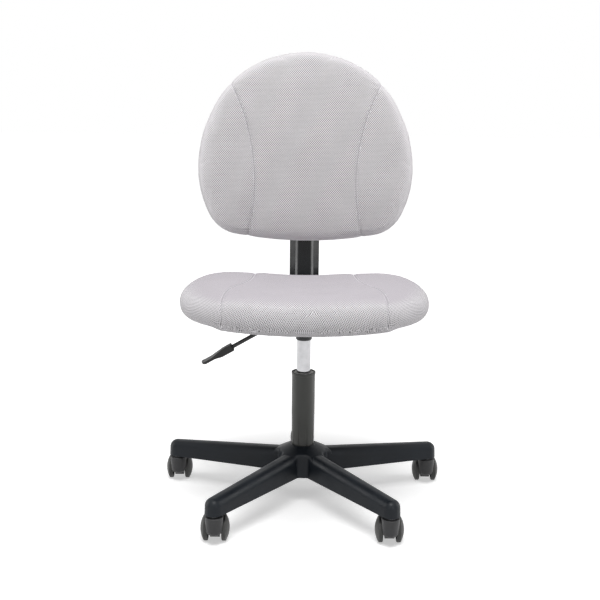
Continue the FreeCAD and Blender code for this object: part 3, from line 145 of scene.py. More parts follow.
def varied(tree, noise, low, high):
    """Spreads the values that noise mostly takes over a range."""
    return ranged(tree, noise, NOISE_LOW, NOISE_HIGH, low, high)


def bumped(tree, height, distance, strength):
    return put(tree, "Bump", {"Height": height, "Distance": distance, "Strength": strength}).outputs[0]


def new_finish(name):
    material = bpy.data.materials.new(name)
    material.use_nodes = True
    tree = material.node_tree
    return material, tree, tree.nodes["Principled BSDF"]


def feed(tree, shader, **sockets):
    """Links a node's output to a shader socket, or sets the socket where it is a plain value."""
    for name, value in sockets.items():
        socket = shader.inputs[name.replace("_", " ")]
        if isinstance(value, bpy.types.NodeSocket):
            tree.links.new(value, socket)
        else:
            socket.default_value = value


# %% [markdown]
# ### Moulded plastic
# The base, casters and paddle are black nylon. It is never one flat black: the mould leaves a fine
# spark texture, handling leaves cloudy patches of gloss, and the edges rub paler. Edges could be
# painted by hand. A Bevel node finds them instead, by comparing the rounded normal with the true one.

# %% Moulded plastic
PLASTIC_FADE = 1.45
PLASTIC_RUB = 0.0012
SPARK_DEPTH = 0.00025


def rubbed_edges(tree, radius):
    """How far each place is rubbed: patches of the edges that a rounding of this radius would touch."""
    rounded = put(tree, "Bevel", {"Radius": radius}, samples=4).outputs[0]
    plain = put(tree, "NewGeometry").outputs["Normal"]
    agree = put(tree, "VectorMath", {0: rounded, 1: plain}, operation="DOT_PRODUCT").outputs["Value"]
    edge = ranged(tree, agree, 0.995, 0.87, 0.0, 1.0)
    patchy = ranged(tree, grain(tree, 160, 3), 0.38, 0.62, 0.15, 1.0)
    return times(tree, edge, patchy)


def moulded_plastic(name, colour, worn, roughness, spark, specular=0.3):
    material, tree, shader = new_finish(name)
    cloud = varied(tree, grain(tree, 14, 4), 0.0, 1.0)
    body = tint(tree, cloud, colour, scaled(colour, PLASTIC_FADE))
    body = tint(tree, rubbed_edges(tree, PLASTIC_RUB), body, worn)
    gloss = varied(tree, grain(tree, 22, 5), roughness - 0.07, roughness + 0.09)
    feed(tree, shader, Base_Color=body, Roughness=gloss, Specular_IOR_Level=specular)
    feed(tree, shader, Normal=bumped(tree, grain(tree, spark, 2), SPARK_DEPTH, 0.3))
    return material


finishes = {}
finishes["base_plastic"] = moulded_plastic("base_nylon", ink(20, 24, 29), ink(58, 61, 66), 0.42, 1500, 0.2)
finishes["caster_plastic"] = moulded_plastic("caster_nylon", ink(52, 52, 53), ink(86, 87, 89), 0.44, 1500)
finishes["wheel_plastic"] = moulded_plastic("wheel_nylon", ink(56, 56, 55), ink(92, 92, 92), 0.48, 1200)
finishes["paddle_plastic"] = moulded_plastic("paddle_nylon", ink(44, 44, 44), ink(84, 84, 84), 0.46, 1300)
finishes["cover_plastic"] = moulded_plastic("cover_shell", ink(30, 31, 34), ink(64, 66, 70), 0.52, 700)
print("plastic finishes:", list(finishes))

# %% [markdown]
# ### Paint on steel
# The pipe, the seat plate and the lever are powder coated: a baked skin with a faint orange peel.
# The bent bar is gloss enamel, so its folds show as bright bands. Both are the same tree; the
# enamel is smoother, and its ripple is longer and shallower.

# %% Paint
PAINT_FADE = 1.3
PAINT_RUB = 0.0008
POWDER = {"ripple": 700, "depth": 0.0002, "specular": 0.4}
ENAMEL = {"ripple": 150, "depth": 0.0001, "specular": 0.28}


def painted_steel(name, colour, worn, roughness, ripple, depth, specular):
    material, tree, shader = new_finish(name)
    cloud = varied(tree, grain(tree, 9, 3), 0.0, 1.0)
    body = tint(tree, cloud, colour, scaled(colour, PAINT_FADE))
    body = tint(tree, rubbed_edges(tree, PAINT_RUB), body, worn)
    gloss = varied(tree, grain(tree, 40, 5), roughness - 0.04, roughness + 0.07)
    feed(tree, shader, Base_Color=body, Roughness=gloss, Specular_IOR_Level=specular)
    feed(tree, shader, Normal=bumped(tree, grain(tree, ripple, 2), depth, 0.35))
    return material


for slot, name, colour, worn, roughness, skin in (
    ("pipe_paint", "pipe_powder_coat", ink(52, 53, 50), ink(86, 87, 84), 0.42, POWDER),
    ("plate_paint", "plate_powder_coat", ink(34, 35, 36), ink(70, 71, 72), 0.48, POWDER),
    ("lever_paint", "lever_powder_coat", ink(42, 42, 42), ink(76, 76, 76), 0.40, POWDER),
    ("bar_paint", "bar_enamel", ink(17, 20, 22), ink(50, 53, 56), 0.20, ENAMEL),
):
    finishes[slot] = painted_steel(name, colour, worn, roughness, **skin)
print("paint finishes:", [name for name in finishes if name.endswith("paint")])

# %% [markdown]
# ### Bare metal, wood, rubber and small mouldings
# The gas lift is hard chrome with the faint rings of its grinding. Fasteners are zinc plated or
# blackened, the boards are plywood whose plies show at the edge, and the guide sleeve is white
# acetal. Streaked noise, stretched along or around the piece, stands for each tool's marks.

# %% Bare metal
METAL_STAIN = 0.82


def bare_metal(name, colour, roughness, marks, stretch, depth):
    material, tree, shader = new_finish(name)
    streak = grain(tree, marks, 4, stretch)
    gloss = varied(tree, streak, roughness * 0.7, roughness * 1.4)
    stain = ranged(tree, grain(tree, 60, 3), 0.35, 0.75, 0.0, 1.0)
    body = tint(tree, stain, colour, scaled(colour, METAL_STAIN))
    feed(tree, shader, Metallic=1.0, Base_Color=body, Roughness=gloss)
    feed(tree, shader, Normal=bumped(tree, streak, depth, 0.2))
    return material


finishes["chrome_tube"] = bare_metal("hard_chrome", ink(166, 166, 168), 0.07, 90, (0.15, 0.15, 6), 0.00001)
finishes["bright_steel"] = bare_metal("ground_steel", ink(205, 206, 208), 0.20, 120, (0.2, 0.2, 5), 0.00005)
finishes["zinc_steel"] = bare_metal("zinc_plate", ink(186, 188, 190), 0.34, 300, (1, 1, 1), 0.0001)
finishes["stem_steel"] = bare_metal("drawn_steel", ink(176, 177, 180), 0.28, 200, (0.3, 0.3, 3), 0.00008)
finishes["black_fasteners"] = bare_metal("blackened_steel", ink(62, 62, 64), 0.38, 400, (1, 1, 1), 0.0001)
finishes["alloy"] = bare_metal("turned_alloy", ink(196, 198, 202), 0.30, 150, (0.3, 0.3, 4), 0.0001)
print("metal finishes made")


# %% Wood, rubber and acetal
MOULDING_SHADE = 0.8


def plywood(name):
    material, tree, shader = new_finish(name)
    place = put(tree, "TexCoord").outputs["Object"]
    lengthwise = put(tree, "Mapping", {"Vector": place, "Scale": (18, 1.6, 18)}).outputs[0]
    figure = put(tree, "TexNoise", {"Vector": lengthwise, "Scale": 14, "Detail": 6}).outputs[0]
    layers = {"Vector": place, "Scale": 210, "Distortion": 1.2}
    plies = put(tree, "TexWave", layers, bands_direction="Z").outputs[1]
    face = tint(tree, varied(tree, figure, 0, 1), ink(196, 164, 120), ink(158, 120, 78))
    edge = times(tree, ranged(tree, plies, 0.4, 0.6, 0, 1), 0.35)
    feed(tree, shader, Base_Color=tint(tree, edge, face, ink(112, 80, 48)), Roughness=0.72)
    feed(tree, shader, Normal=bumped(tree, figure, 0.0004, 0.3))
    return material


def soft_moulding(name, colour, roughness, pits):
    material, tree, shader = new_finish(name)
    cloud = varied(tree, grain(tree, 50, 4), 0.0, 1.0)
    gloss = varied(tree, grain(tree, 90), roughness - 0.05, roughness + 0.05)
    body = tint(tree, cloud, colour, scaled(colour, MOULDING_SHADE))
    feed(tree, shader, Base_Color=body, Roughness=gloss)
    feed(tree, shader, Normal=bumped(tree, grain(tree, pits), 0.0002, 0.25))
    return material


finishes["board_wood"] = plywood("birch_ply")
finishes["sleeve_plastic"] = soft_moulding("white_acetal", ink(214, 213, 206), 0.40, 900)
finishes["stop_rubber"] = soft_moulding("stop_rubber", ink(30, 30, 30), 0.80, 600)
print("finishes:", len(finishes))

# %% Put each finish on its CAD nodes
slot_of = {row["node"]: row["material_slot"] for row in frame["record"]["subparts"]}
dressed = 0
for name, piece in nodes.items():
    finish = finishes.get(slot_of[name])
    if finish is None:
        continue
    piece.data.materials.clear()
    piece.data.materials.append(finish)
    dressed += 1
print("nodes with a new finish:", dressed)

# %% [markdown]
# ## The spacer mesh fabric
# The cover is a warp knitted spacer mesh: two knitted faces held apart by fine yarn, with staggered
# diamond holes about four millimetres apart. The holes are small, so they are drawn by the material
# in real metres, from a flattened copy of the surface that each cushion carries in an attribute
# named weave. Two lattices, one shifted by half a cell, give the staggered rows, and the distance
# to the nearest hole makes both the colour and the bump. Two more attributes come with the sewing:
# opening says how far the holes are pulled open, and the other marks the bottom of each seam,
# which the material darkens as painted shade. The seat and the back are one fabric, made as a
# lighter copy and a darker copy for painted light and shade, and the seat's closed holes take a
# dark colour that paints shade on its top.

# %% Spacer mesh
HOLE_PITCH = (0.0042, 0.0052)
HOLE_CORE = 0.09
HOLE_RIM = 0.35
YARN_WEAR = 0.93
FLECK = ink(236, 234, 238)
FLECK_SHARE = 0.08


def nearest_hole(tree, place, shift):
    """Distance to the nearest hole of one lattice, in cells."""
    moved = put(tree, "VectorMath", {0: place, 1: (shift, shift, 0)}, operation="ADD").outputs[0]
    cell = put(tree, "VectorMath", {0: moved}, operation="FRACTION").outputs[0]
    centred = put(tree, "VectorMath", {0: cell, 1: (0.5, 0.5, 0)}, operation="SUBTRACT").outputs[0]
    flat = put(tree, "VectorMath", {0: centred, 1: (1, 1, 0)}, operation="MULTIPLY").outputs[0]
    return put(tree, "VectorMath", {0: flat}, operation="LENGTH").outputs["Value"]


def spacer_mesh(name, yarn, gap, shut_and_shade):
    """Knit of one yarn colour, with holes that show the gap colour, or a third colour where they close;
    where that colour is dark, it paints shade on the closed parts.
    """
    material, tree, shader = new_finish(name)
    place = put(tree, "Attribute", attribute_name="weave").outputs["Vector"]
    per_cell = (1 / HOLE_PITCH[0], 1 / HOLE_PITCH[1], 0)
    cells = put(tree, "VectorMath", {0: place, 1: per_cell}, operation="MULTIPLY").outputs[0]
    first = nearest_hole(tree, cells, 0.0)
    second = nearest_hole(tree, cells, 0.5)
    near = put(tree, "Math", {0: first, 1: second}, operation="MINIMUM").outputs[0]
    hole = ranged(tree, near, HOLE_CORE, HOLE_RIM, 1.0, 0.0, "SMOOTHSTEP")
    opening = put(tree, "Attribute", attribute_name="opening").outputs["Fac"]
    crease = put(tree, "Attribute", attribute_name="crease").outputs["Fac"]
    fuzz = grain(tree, 1400, 3)
    cloud = varied(tree, grain(tree, 16, 3), 0.0, 1.0)
    face = tint(tree, cloud, yarn, scaled(yarn, YARN_WEAR))
    flecked = tint(tree, ranged(tree, fuzz, 0.35, 0.65, 0.0, FLECK_SHARE), face, FLECK)
    knit = tint(tree, opening, shut_and_shade, tint(tree, hole, flecked, gap))
    # Painted shade: the bottom of each seam is darkened towards the gap colour.
    knit = tint(tree, crease, knit, gap)
    feed(tree, shader, Base_Color=knit, Roughness=0.92, Specular_IOR_Level=0.12)
    feed(tree, shader, Sheen_Weight=0.06, Sheen_Roughness=0.45)
    sunk = times(tree, hole, opening)
    depth = put(tree, "Math", {0: times(tree, fuzz, 0.12), 1: sunk}, operation="SUBTRACT").outputs[0]
    feed(tree, shader, Normal=bumped(tree, depth, 0.0007, 0.3))
    return material


# The seat and the back are one fabric. The seat's copy has a lighter yarn as painted light, and a dark
# colour for its closed holes that covers the seat's top as painted shade; the back's copy is darker as
# painted shade.
seat_cover = spacer_mesh("seat_spacer_mesh_lit_copy", ink(246, 243, 246), ink(106, 104, 108), ink(186, 180, 187))
back_cover = spacer_mesh("back_spacer_mesh_shaded_copy", ink(234, 231, 233), ink(102, 100, 104), ink(230, 227, 230))
print("fabric cell:", HOLE_PITCH, "m")

# %% [markdown]
# ## Where the padding sits
# Each cushion is foam glued to a plywood board and wrapped in the mesh. All sewing is laid out on
# the board, so it is handy to measure every point across the board, along it, and out from its
# padded face. The board's own largest face gives those directions.

# %% Helpers for meshes and board places
def points_of(mesh):
    flat = np.empty(len(mesh.vertices) * 3)
    mesh.vertices.foreach_get("co", flat)
    return flat.reshape(-1, 3)


def set_points(mesh, points):
    mesh.vertices.foreach_set("co", np.asarray(points, dtype=np.float32).ravel())
    mesh.update()


def eased(value, start, span):
    """0 up to a start, then rising to 1 over a span; a negative span counts downwards."""
    return np.clip((value - start) / span, 0, 1)


def normals_of(mesh):
    flat = np.empty(len(mesh.vertices) * 3, dtype=np.float32)
    mesh.vertex_normals.foreach_get("vector", flat)
    return flat.reshape(-1, 3).astype(float)


class Board:
    """Directions of a flat board, with zero at its near edge and on its padded face."""

    def __init__(self, node, padded_side):
        mesh = nodes[node].data
        out = max(mesh.polygons, key=lambda face: face.area).normal.copy()
        if out.dot(padded_side) < 0:
            out = -out
        across = Vector((1, 0, 0))
        self.axes = np.array([across, out.cross(across).normalized(), out])
        places = points_of(mesh) @ self.axes.T
        self.zero = np.array([0.0, places[:, 1].min(), places[:, 2].max()])
        self.length = float(np.ptp(places[:, 1]))
        self.gauge = float(np.ptp(places[:, 2]))

    def local(self, points):
        return np.asarray(points) @ self.axes.T - self.zero

    def world(self, places):
        return (np.asarray(places) + self.zero) @ self.axes


seat_place = Board("seat_board", Vector((0, 0, 1)))
back_place = Board("back_board", Vector((0, -1, 0)))
for title, place in (("seat", seat_place), ("back", back_place)):
    print(title, "board", round(place.length, 4), "long,", round(place.gauge, 4), "thick")

# %% [markdown]
# ## Filling the cushions
# A cushion could be modelled by hand, but foam that pushes against a sewn cover finds its own
# shape. So the CAD solid and its board are copied into one form, rebuilt as even cells, drawn in a
# little, and then blown up by a cloth simulation with the seams and the glued underside held. The
# movement is capped. The seat's side panels are pulled taut afterwards, as an upholsterer would.

# %% Form to fill
def joined_copy(name, sources):
    form = bmesh.new()
    for source in sources:
        form.from_mesh(nodes[source].data)
    bmesh.ops.remove_doubles(form, verts=form.verts, dist=0.01 * MM)
    mesh = bpy.data.meshes.new(name)
    form.to_mesh(mesh)
    form.free()
    piece = bpy.data.objects.new(name, mesh)
    scene.collection.objects.link(piece)
    return piece


def settle(piece):
    """Makes what the modifiers show into the piece's own mesh."""
    graph = bpy.context.evaluated_depsgraph_get()
    mesh = bpy.data.meshes.new_from_object(piece.evaluated_get(graph))
    before = piece.data
    piece.modifiers.clear()
    piece.data = mesh
    bpy.data.meshes.remove(before)


def outer_skin(piece):
    """Keeps the largest closed skin and drops any that the rebuilding left inside."""
    form = bmesh.new()
    form.from_mesh(piece.data)
    seen, largest = set(), []
    for start in form.verts:
        if start in seen:
            continue
        skin, edge = [start], [start]
        seen.add(start)
        while edge:
            vertex = edge.pop()
            for link in vertex.link_edges:
                other = link.other_vert(vertex)
                if other not in seen:
                    seen.add(other)
                    skin.append(other)
                    edge.append(other)
        if len(skin) > len(largest):
            largest = skin
    kept = set(largest)
    bmesh.ops.delete(form, geom=[v for v in form.verts if v not in kept], context="VERTS")
    form.to_mesh(piece.data)
    form.free()


CELL = 4.5 * MM


def even_form(name, sources):
    piece = joined_copy(name, sources)
    rebuild = piece.modifiers.new("even_cells", "REMESH")
    rebuild.mode = "VOXEL"
    rebuild.voxel_size = CELL
    settle(piece)
    outer_skin(piece)
    relax = piece.modifiers.new("relax", "SMOOTH")
    relax.factor = 0.5
    relax.iterations = 4
    settle(piece)
    print(name, "cells:", len(piece.data.polygons))
    return piece


# %% Seam lines on the boards
SEAT_SEAM_FRONT = 153 * MM
SEAT_SEAM_REAR = 105 * MM
SEAT_SEAM_TURN = 155 * MM
SEAT_SEAM_EASE = 32 * MM
BACK_SEAM_WAIST = 109 * MM
BACK_SEAM_RADIUS = 450 * MM
BACK_SEAM_HEIGHT = 107 * MM


def seat_seam_half(along):
    """Half the distance between the seat seams: wide at the front, narrow behind, an S between."""
    front_share = 1 / (1 + np.exp((along - SEAT_SEAM_TURN) / SEAT_SEAM_EASE))
    return SEAT_SEAM_REAR + (SEAT_SEAM_FRONT - SEAT_SEAM_REAR) * front_share


def seat_seam_offset(places):
    """Distance of each place from the nearer seat seam."""
    half = seat_seam_half(places[:, 1])
    slope = (seat_seam_half(places[:, 1] + MM) - half) / MM
    return (np.abs(places[:, 0]) - half) / np.hypot(1, slope)


def back_seam_offset(places):
    """Distance of each place from the nearer back seam, an arc that bends in at the waist."""
    centre = BACK_SEAM_WAIST + BACK_SEAM_RADIUS
    reach = np.hypot(np.abs(places[:, 0]) - centre, places[:, 1] - BACK_SEAM_HEIGHT)
    return BACK_SEAM_RADIUS - reach


# %% Filling by cloth simulation
DRAW_IN = 0.8 * MM
SEAM_PULL = 2.4 * MM
SEAM_REACH = 14 * MM
SEAT_EDGE_SHARE = 0.8
BACK_EDGE_SHARE = 0.35
SEAT_MIDDLE_SHARE = 0.35
BACK_MIDDLE_SHARE = 0.7
SEAM_HELD = 0.62 * CELL
GLUED_FACING = -0.55
FRONT_FACING = 0.6
SWELL_CAP = 9 * MM
PRESSURE = 6.0
STEPS = 20


def towards_front(facing, edge_share):
    """1 where the cover faces out from the board, falling to a share of that at the rolled edge."""
    rise = eased(facing[:, 2], 0, FRONT_FACING)
    return edge_share + (1 - edge_share) * rise * rise * (3 - 2 * rise)


def fill(piece, board, seam_offset, middle_share, edge_share):
    """Draws the form in, holds its seams and its glued side, and blows it up."""
    mesh = piece.data
    start = points_of(mesh)
    places = board.local(start)
    facing = normals_of(mesh) @ board.axes.T
    offset = seam_offset(places)
    glued = (facing[:, 2] < GLUED_FACING) | (places[:, 2] < -board.gauge)
    held = (np.abs(offset) < SEAM_HELD) | glued
    hold = piece.vertex_groups.new(name="held")
    hold.add([int(index) for index in np.flatnonzero(held)], 1.0, "REPLACE")
    pull = DRAW_IN + SEAM_PULL * towards_front(facing, edge_share) * np.exp(-(offset / SEAM_REACH) ** 2)
    drawn = start - normals_of(mesh) * np.where(glued, 0.0, pull)[:, None]
    set_points(mesh, drawn)
    cloth = piece.modifiers.new("filling", "CLOTH")
    cloth.settings.quality = 5
    cloth.settings.use_pressure = True
    cloth.settings.uniform_pressure_force = PRESSURE
    cloth.settings.effector_weights.gravity = 0.0
    cloth.settings.vertex_group_mass = "held"
    cloth.collision_settings.use_collision = False
    for step in range(1, STEPS + 1):
        scene.frame_set(step)
    graph = bpy.context.evaluated_depsgraph_get()
    blown = points_of(piece.evaluated_get(graph).data)
    piece.modifiers.clear()
    scene.frame_set(1)
    move = blown - drawn
    far = np.linalg.norm(move, axis=1)
    share = np.where(offset < 0, middle_share, 1.0)
    move *= (share * np.minimum(far, SWELL_CAP) / np.maximum(far, 1e-9))[:, None]
    set_points(mesh, drawn + move)
    most, mean = (round(float(value) / MM, 1) for value in (far.max(), far.mean()))
    print(piece.name, "swelled by up to", most, "mm, mean", mean)


TAUT_ROUNDS = 30
TAUT_STEP = 0.5
TAUT_REACH = 18 * MM


def pull_taut(piece, board, seam_offset):
    """Pulls the side panels taut, so that the filling leaves no crumple in them."""
    mesh = piece.data
    ends = np.empty(2 * len(mesh.edges), dtype=np.int32)
    mesh.edges.foreach_get("vertices", ends)
    first, second = ends[0::2], ends[1::2]
    points = points_of(mesh)
    count = np.bincount(ends, minlength=len(points))[:, None]
    loose = TAUT_STEP * eased(seam_offset(board.local(points)), 0, TAUT_REACH)[:, None]
    for _ in range(TAUT_ROUNDS):
        around = np.zeros_like(points)
        np.add.at(around, first, points[second])
        np.add.at(around, second, points[first])
        points = points + loose * (around / count - points)
    set_points(mesh, points)
    print(piece.name, "side panels pulled taut")


seat_pad = even_form("seat_pad", ["seat_cushion", "seat_board"])
fill(seat_pad, seat_place, seat_seam_offset, SEAT_MIDDLE_SHARE, SEAT_EDGE_SHARE)
pull_taut(seat_pad, seat_place, seat_seam_offset)
back_pad = even_form("back_pad", ["back_cushion", "back_board"])
fill(back_pad, back_place, back_seam_offset, BACK_MIDDLE_SHARE, BACK_EDGE_SHARE)

# %% [markdown]
# ### Stretching the covers
# Drawing in and blowing up leave each cushion a little off its size. So it is stretched over the
# outline of the CAD cushion, and past it by a few millimetres where the fabric bulges. The back's
# face is nearly flat and turns in a tight roll at its rim, so its edge is filled out as well.

# %% Stretch the covers to size
SEAT_PAST = ((2.5, 2.5), (0, 0), (1.0, 1.5))
BACK_PAST = ((1.5, 1.5), (7, -1))


def stretch(piece, board, node, past):
    """Stretches a cover over a CAD cushion; past has the millimetres by which each edge passes it."""
    target = board.local(points_of(nodes[node].data))
    places = board.local(points_of(piece.data))
    for axis, (low_past, high_past) in enumerate(past):
        low, high = places[:, axis].min(), places[:, axis].max()
        new_low = target[:, axis].min() - low_past * MM
        new_high = target[:, axis].max() + high_past * MM
        places[:, axis] = new_low + (places[:, axis] - low) * (new_high - new_low) / (high - low)
    set_points(piece.data, board.world(places))
    print(piece.name, "stretched to", np.ptp(places[:, :2], axis=0).round(4), "m")


ROLL_POWER = 1.7
ROLL_SHARE = 0.93
# Height, reach and widening of each band of the back, in millimetres.
BACK_TRIM = ((350, 45, 4.5), (250, 25, -1.5), (95, 55, 2.0))


def tighten_roll(piece, board):
    """Fills out the rim of the back: its face is nearly flat and its edge is a tight roll."""
    places = board.local(points_of(piece.data))
    high = places[:, 2].max()
    rise = ROLL_SHARE * eased(places[:, 2], 0, high)
    full = high * (1 - (1 - rise) ** ROLL_POWER) / (1 - (1 - ROLL_SHARE) ** ROLL_POWER)
    places[:, 2] = np.where(places[:, 2] > 0, full, places[:, 2])
    wider = np.zeros(len(places))
    for along, reach, widen in BACK_TRIM:
        wider += widen * MM * np.exp(-((places[:, 1] - along * MM) / (reach * MM)) ** 2)
    places[:, 0] *= 1 + wider / places[:, 0].max()
    set_points(piece.data, board.world(places))
    print(piece.name, "rim filled out to", round(float(high) / MM, 1), "mm")


stretch(seat_pad, seat_place, "seat_cushion", SEAT_PAST)
stretch(back_pad, back_place, "back_cushion", BACK_PAST)
tighten_roll(back_pad, back_place)

# %% [markdown]
# ## Seams and puckers
# A top stitched seam is a valley: two panels turn down into it and the thread pulls the foam, so the
# cover puckers beside it. The valley is narrower than the cells of the simulation, so it is pressed
# in after one subdivision, with a wave along the seam for the puckers. The flattened places for the
# weave are stored first, while the normals are still smooth. Sitting has also pressed the middle of
# the seat down, and its cover folds behind the front roll.

# %% Weave places, subdivision and valleys
SEAT_ROLL = 42 * MM
BACK_ROLL = 34 * MM
# Only 0.3 of the holes on the seat's top are open, so the top mostly takes the seat's dark closed-hole
# colour: painted shade.
SEAT_OPEN = (0.3, 1.0)
BACK_OPEN = (1.0, 0.4)
VALLEY_DEPTH = 2.6 * MM
VALLEY_WIDTH = 3.0 * MM
# Width and strength of the painted shade along the bottom of each seam.
CREASE_SHADE_WIDTH = 2.0 * MM
CREASE_SHADE = 0.16
PUCKER_DEPTH = 0.45 * MM
PUCKER_WIDTH = 9 * MM
PUCKER_PITCH = 11 * MM
PUCKER_SLANT = 0.6
PUCKER_STAGGER = 0.3 * PUCKER_PITCH
PUCKER_SWAY = 1.3
PUCKER_SWAY_LENGTH = 19 * MM
UNDER_EASE = 4 * MM


def store(mesh, name, values):
    """Keeps one value for each point of a mesh, for its material."""
    mark = mesh.attributes.new(name, "FLOAT", "POINT")
    mark.data.foreach_set("value", values.astype(np.float32))


def lay_weave(mesh, board, roll, face_and_edge):
    """Stores where each point lies on the cloth laid out flat, and how far its holes are open there."""
    places = board.local(points_of(mesh))
    facing = normals_of(mesh) @ board.axes.T
    level = np.linalg.norm(facing[:, :2], axis=1)
    turn = np.arctan2(level, facing[:, 2])
    heading = facing[:, :2] / np.maximum(level, 1e-6)[:, None]
    flat = np.zeros((len(places), 3), dtype=np.float32)
    flat[:, :2] = places[:, :2] + heading * (roll * (turn - np.sin(turn)))[:, None]
    mark = mesh.attributes.new("weave", "FLOAT_VECTOR", "POINT")
    mark.data.foreach_set("vector", flat.ravel())
    rolled = eased(facing[:, 2], 0.97, -0.25)
    face_open, edge_open = face_and_edge
    store(mesh, "opening", face_open + (edge_open - face_open) * rolled)


DISH_DEPTH = 3.0 * MM
DISH_EASE = 70 * MM
FOLD_DEPTH = 4.6 * MM
FOLD_PLACE = 75 * MM
FOLD_WIDTH = 32 * MM
LIP_RISE = 3.0 * MM
LIP_PLACE = 26 * MM
LIP_WIDTH = 20 * MM


def seat_hollow(places, offset):
    """How far a sitter has pressed the middle of the seat down, with a fold behind the front roll."""
    middle = eased(offset, 0, -DISH_EASE)
    behind = eased(places[:, 1], FOLD_PLACE, DISH_EASE)
    fold = FOLD_DEPTH * np.exp(-((places[:, 1] - FOLD_PLACE) / FOLD_WIDTH) ** 2)
    lip = LIP_RISE * np.exp(-((places[:, 1] - LIP_PLACE) / LIP_WIDTH) ** 2)
    return np.sqrt(middle) * (DISH_DEPTH * behind + fold - lip)


def no_hollow(places, offset):
    return np.zeros(len(places))


def sew(piece, board, seam_offset, roll, hollow, edge_share, face_and_edge):
    """Subdivides a cover, presses its seams and its hollow in, and stores what its fabric needs."""
    smooth = piece.modifiers.new("smooth", "SUBSURF")
    smooth.levels = 1
    settle(piece)
    mesh = piece.data
    lay_weave(mesh, board, roll, face_and_edge)
    points = points_of(mesh)
    places = board.local(points)
    normals = normals_of(mesh)
    offset = seam_offset(places)
    facing = normals @ board.axes.T
    shown = eased(places[:, 2], -board.gauge, UNDER_EASE)
    shown *= eased(facing[:, 2], -0.6, 0.3) * towards_front(facing, edge_share)
    in_valley = np.exp(-(offset / VALLEY_WIDTH) ** 2)
    along = places[:, 1] + PUCKER_SLANT * places[:, 2] + np.sign(offset) * PUCKER_STAGGER
    sway = PUCKER_SWAY * np.sin(along / PUCKER_SWAY_LENGTH)
    wave = np.cos(2 * math.pi * along / PUCKER_PITCH + sway)
    pucker = PUCKER_DEPTH * wave * np.exp(-np.abs(offset) / PUCKER_WIDTH) * (1 - in_valley)
    pressed = shown * (VALLEY_DEPTH * in_valley + pucker)
    sunk = hollow(places, offset) * eased(facing[:, 2], 0, 0.5)
    set_points(mesh, points - normals * pressed[:, None] - np.outer(sunk, board.axes[2]))
    # Painted shade along the bottom of each seam, stored for the material.
    store(mesh, "crease", CREASE_SHADE * shown * np.exp(-(offset / CREASE_SHADE_WIDTH) ** 2))
    mesh.polygons.foreach_set("use_smooth", np.ones(len(mesh.polygons), dtype=bool))
    print(piece.name, "points:", len(mesh.vertices))


sew(seat_pad, seat_place, seat_seam_offset, SEAT_ROLL, seat_hollow, SEAT_EDGE_SHARE, SEAT_OPEN)
sew(back_pad, back_place, back_seam_offset, BACK_ROLL, no_hollow, BACK_EDGE_SHARE, BACK_OPEN)

# %% [markdown]
# ### Room for the boards
# The plywood is let into the foam, so the cushion has a pocket of the board's outline. A boolean
# cut with a slightly larger copy of that outline leaves a clean pocket, open towards the fixings.

# %% Pockets
BOARD_ROOM = 0.3 * MM
CUT_PAST = 30 * MM


def hull_of(flat):
    """Convex outline of points on a plane, in order."""
    rows = sorted(set(map(tuple, np.round(flat, 6))))

    def half(points):
        line = []
        for x, y in points:
            while len(line) > 1:
                (x1, y1), (x2, y2) = line[-2:]
                if (x2 - x1) * (y - y1) - (y2 - y1) * (x - x1) > 0:
                    break
                line.pop()
            line.append((x, y))
        return line[:-1]

    return np.array(half(rows) + half(rows[::-1]))


def cut_pocket(piece, board, node):
    outline = hull_of(board.local(points_of(nodes[node].data))[:, :2])
    middle = outline.mean(axis=0)
    ring = middle + (outline - middle) * (1 + 2 * BOARD_ROOM / np.ptp(outline[:, 0]))
    count = len(ring)
    low = np.column_stack([ring, np.full(count, -CUT_PAST)])
    high = np.column_stack([ring, np.full(count, BOARD_ROOM)])
    mesh = bpy.data.meshes.new("pocket")
    sides = [(i, (i + 1) % count, count + (i + 1) % count, count + i) for i in range(count)]
    caps = [tuple(reversed(range(count))), tuple(range(count, 2 * count))]
    mesh.from_pydata([tuple(p) for p in board.world(np.vstack([low, high]))], [], sides + caps)
    cutter = bpy.data.objects.new("pocket", mesh)
    scene.collection.objects.link(cutter)
    cut = piece.modifiers.new("pocket", "BOOLEAN")
    cut.object = cutter
    cut.operation = "DIFFERENCE"
    cut.solver = "EXACT"
    settle(piece)
    bpy.data.objects.remove(cutter)
    print(piece.name, "after its pocket:", len(piece.data.vertices), "points")


cut_pocket(seat_pad, seat_place, "seat_board")
cut_pocket(back_pad, back_place, "back_board")

# %% Cushions in place
for piece, node, cover, slot in (
    (seat_pad, "seat_cushion", seat_cover, "seat_fabric"),
    (back_pad, "back_cushion", back_cover, "back_fabric"),
):
    piece.data.materials.clear()
    piece.data.materials.append(cover)
    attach(piece, "seat")
    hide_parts(node)
print("cushions ride on the seat body")

# %% [markdown]
# ## Top stitching
# Beside each valley runs a row of stitches in pale thread, one on each panel. A texture of dashes
# would vanish at the rolled edge, so each stitch is a small bent length of thread. Rays shot from
# inside the padding find the cover, the hits make a line, and stitches are laid along it.

# %% Thread
STITCH_ASIDE = 2.6 * MM
STITCH_PITCH = 5.0 * MM
STITCH_LENGTH = 3.8 * MM
THREAD_RADIUS = 0.55 * MM
THREAD_SIDES = 6
THREAD_RINGS = (-1.0, -0.8, -0.3, 0.3, 0.8, 1.0)
THREAD_PROUD = 0.9
THREAD_DIVE = 1.5
THREAD_END = 0.08
AHEAD = 0.5 * MM


def sewing_thread(name):
    material, tree, shader = new_finish(name)
    twist = put(tree, "TexWave", {"Scale": 900, "Distortion": 2.0}, bands_direction="DIAGONAL").outputs[1]
    feed(tree, shader, Base_Color=tint(tree, twist, ink(240, 238, 242), ink(214, 211, 216)), Roughness=0.7)
    feed(tree, shader, Normal=bumped(tree, twist, 0.0002, 0.4), Specular_IOR_Level=0.2)
    return material


thread = sewing_thread("polyester_thread")


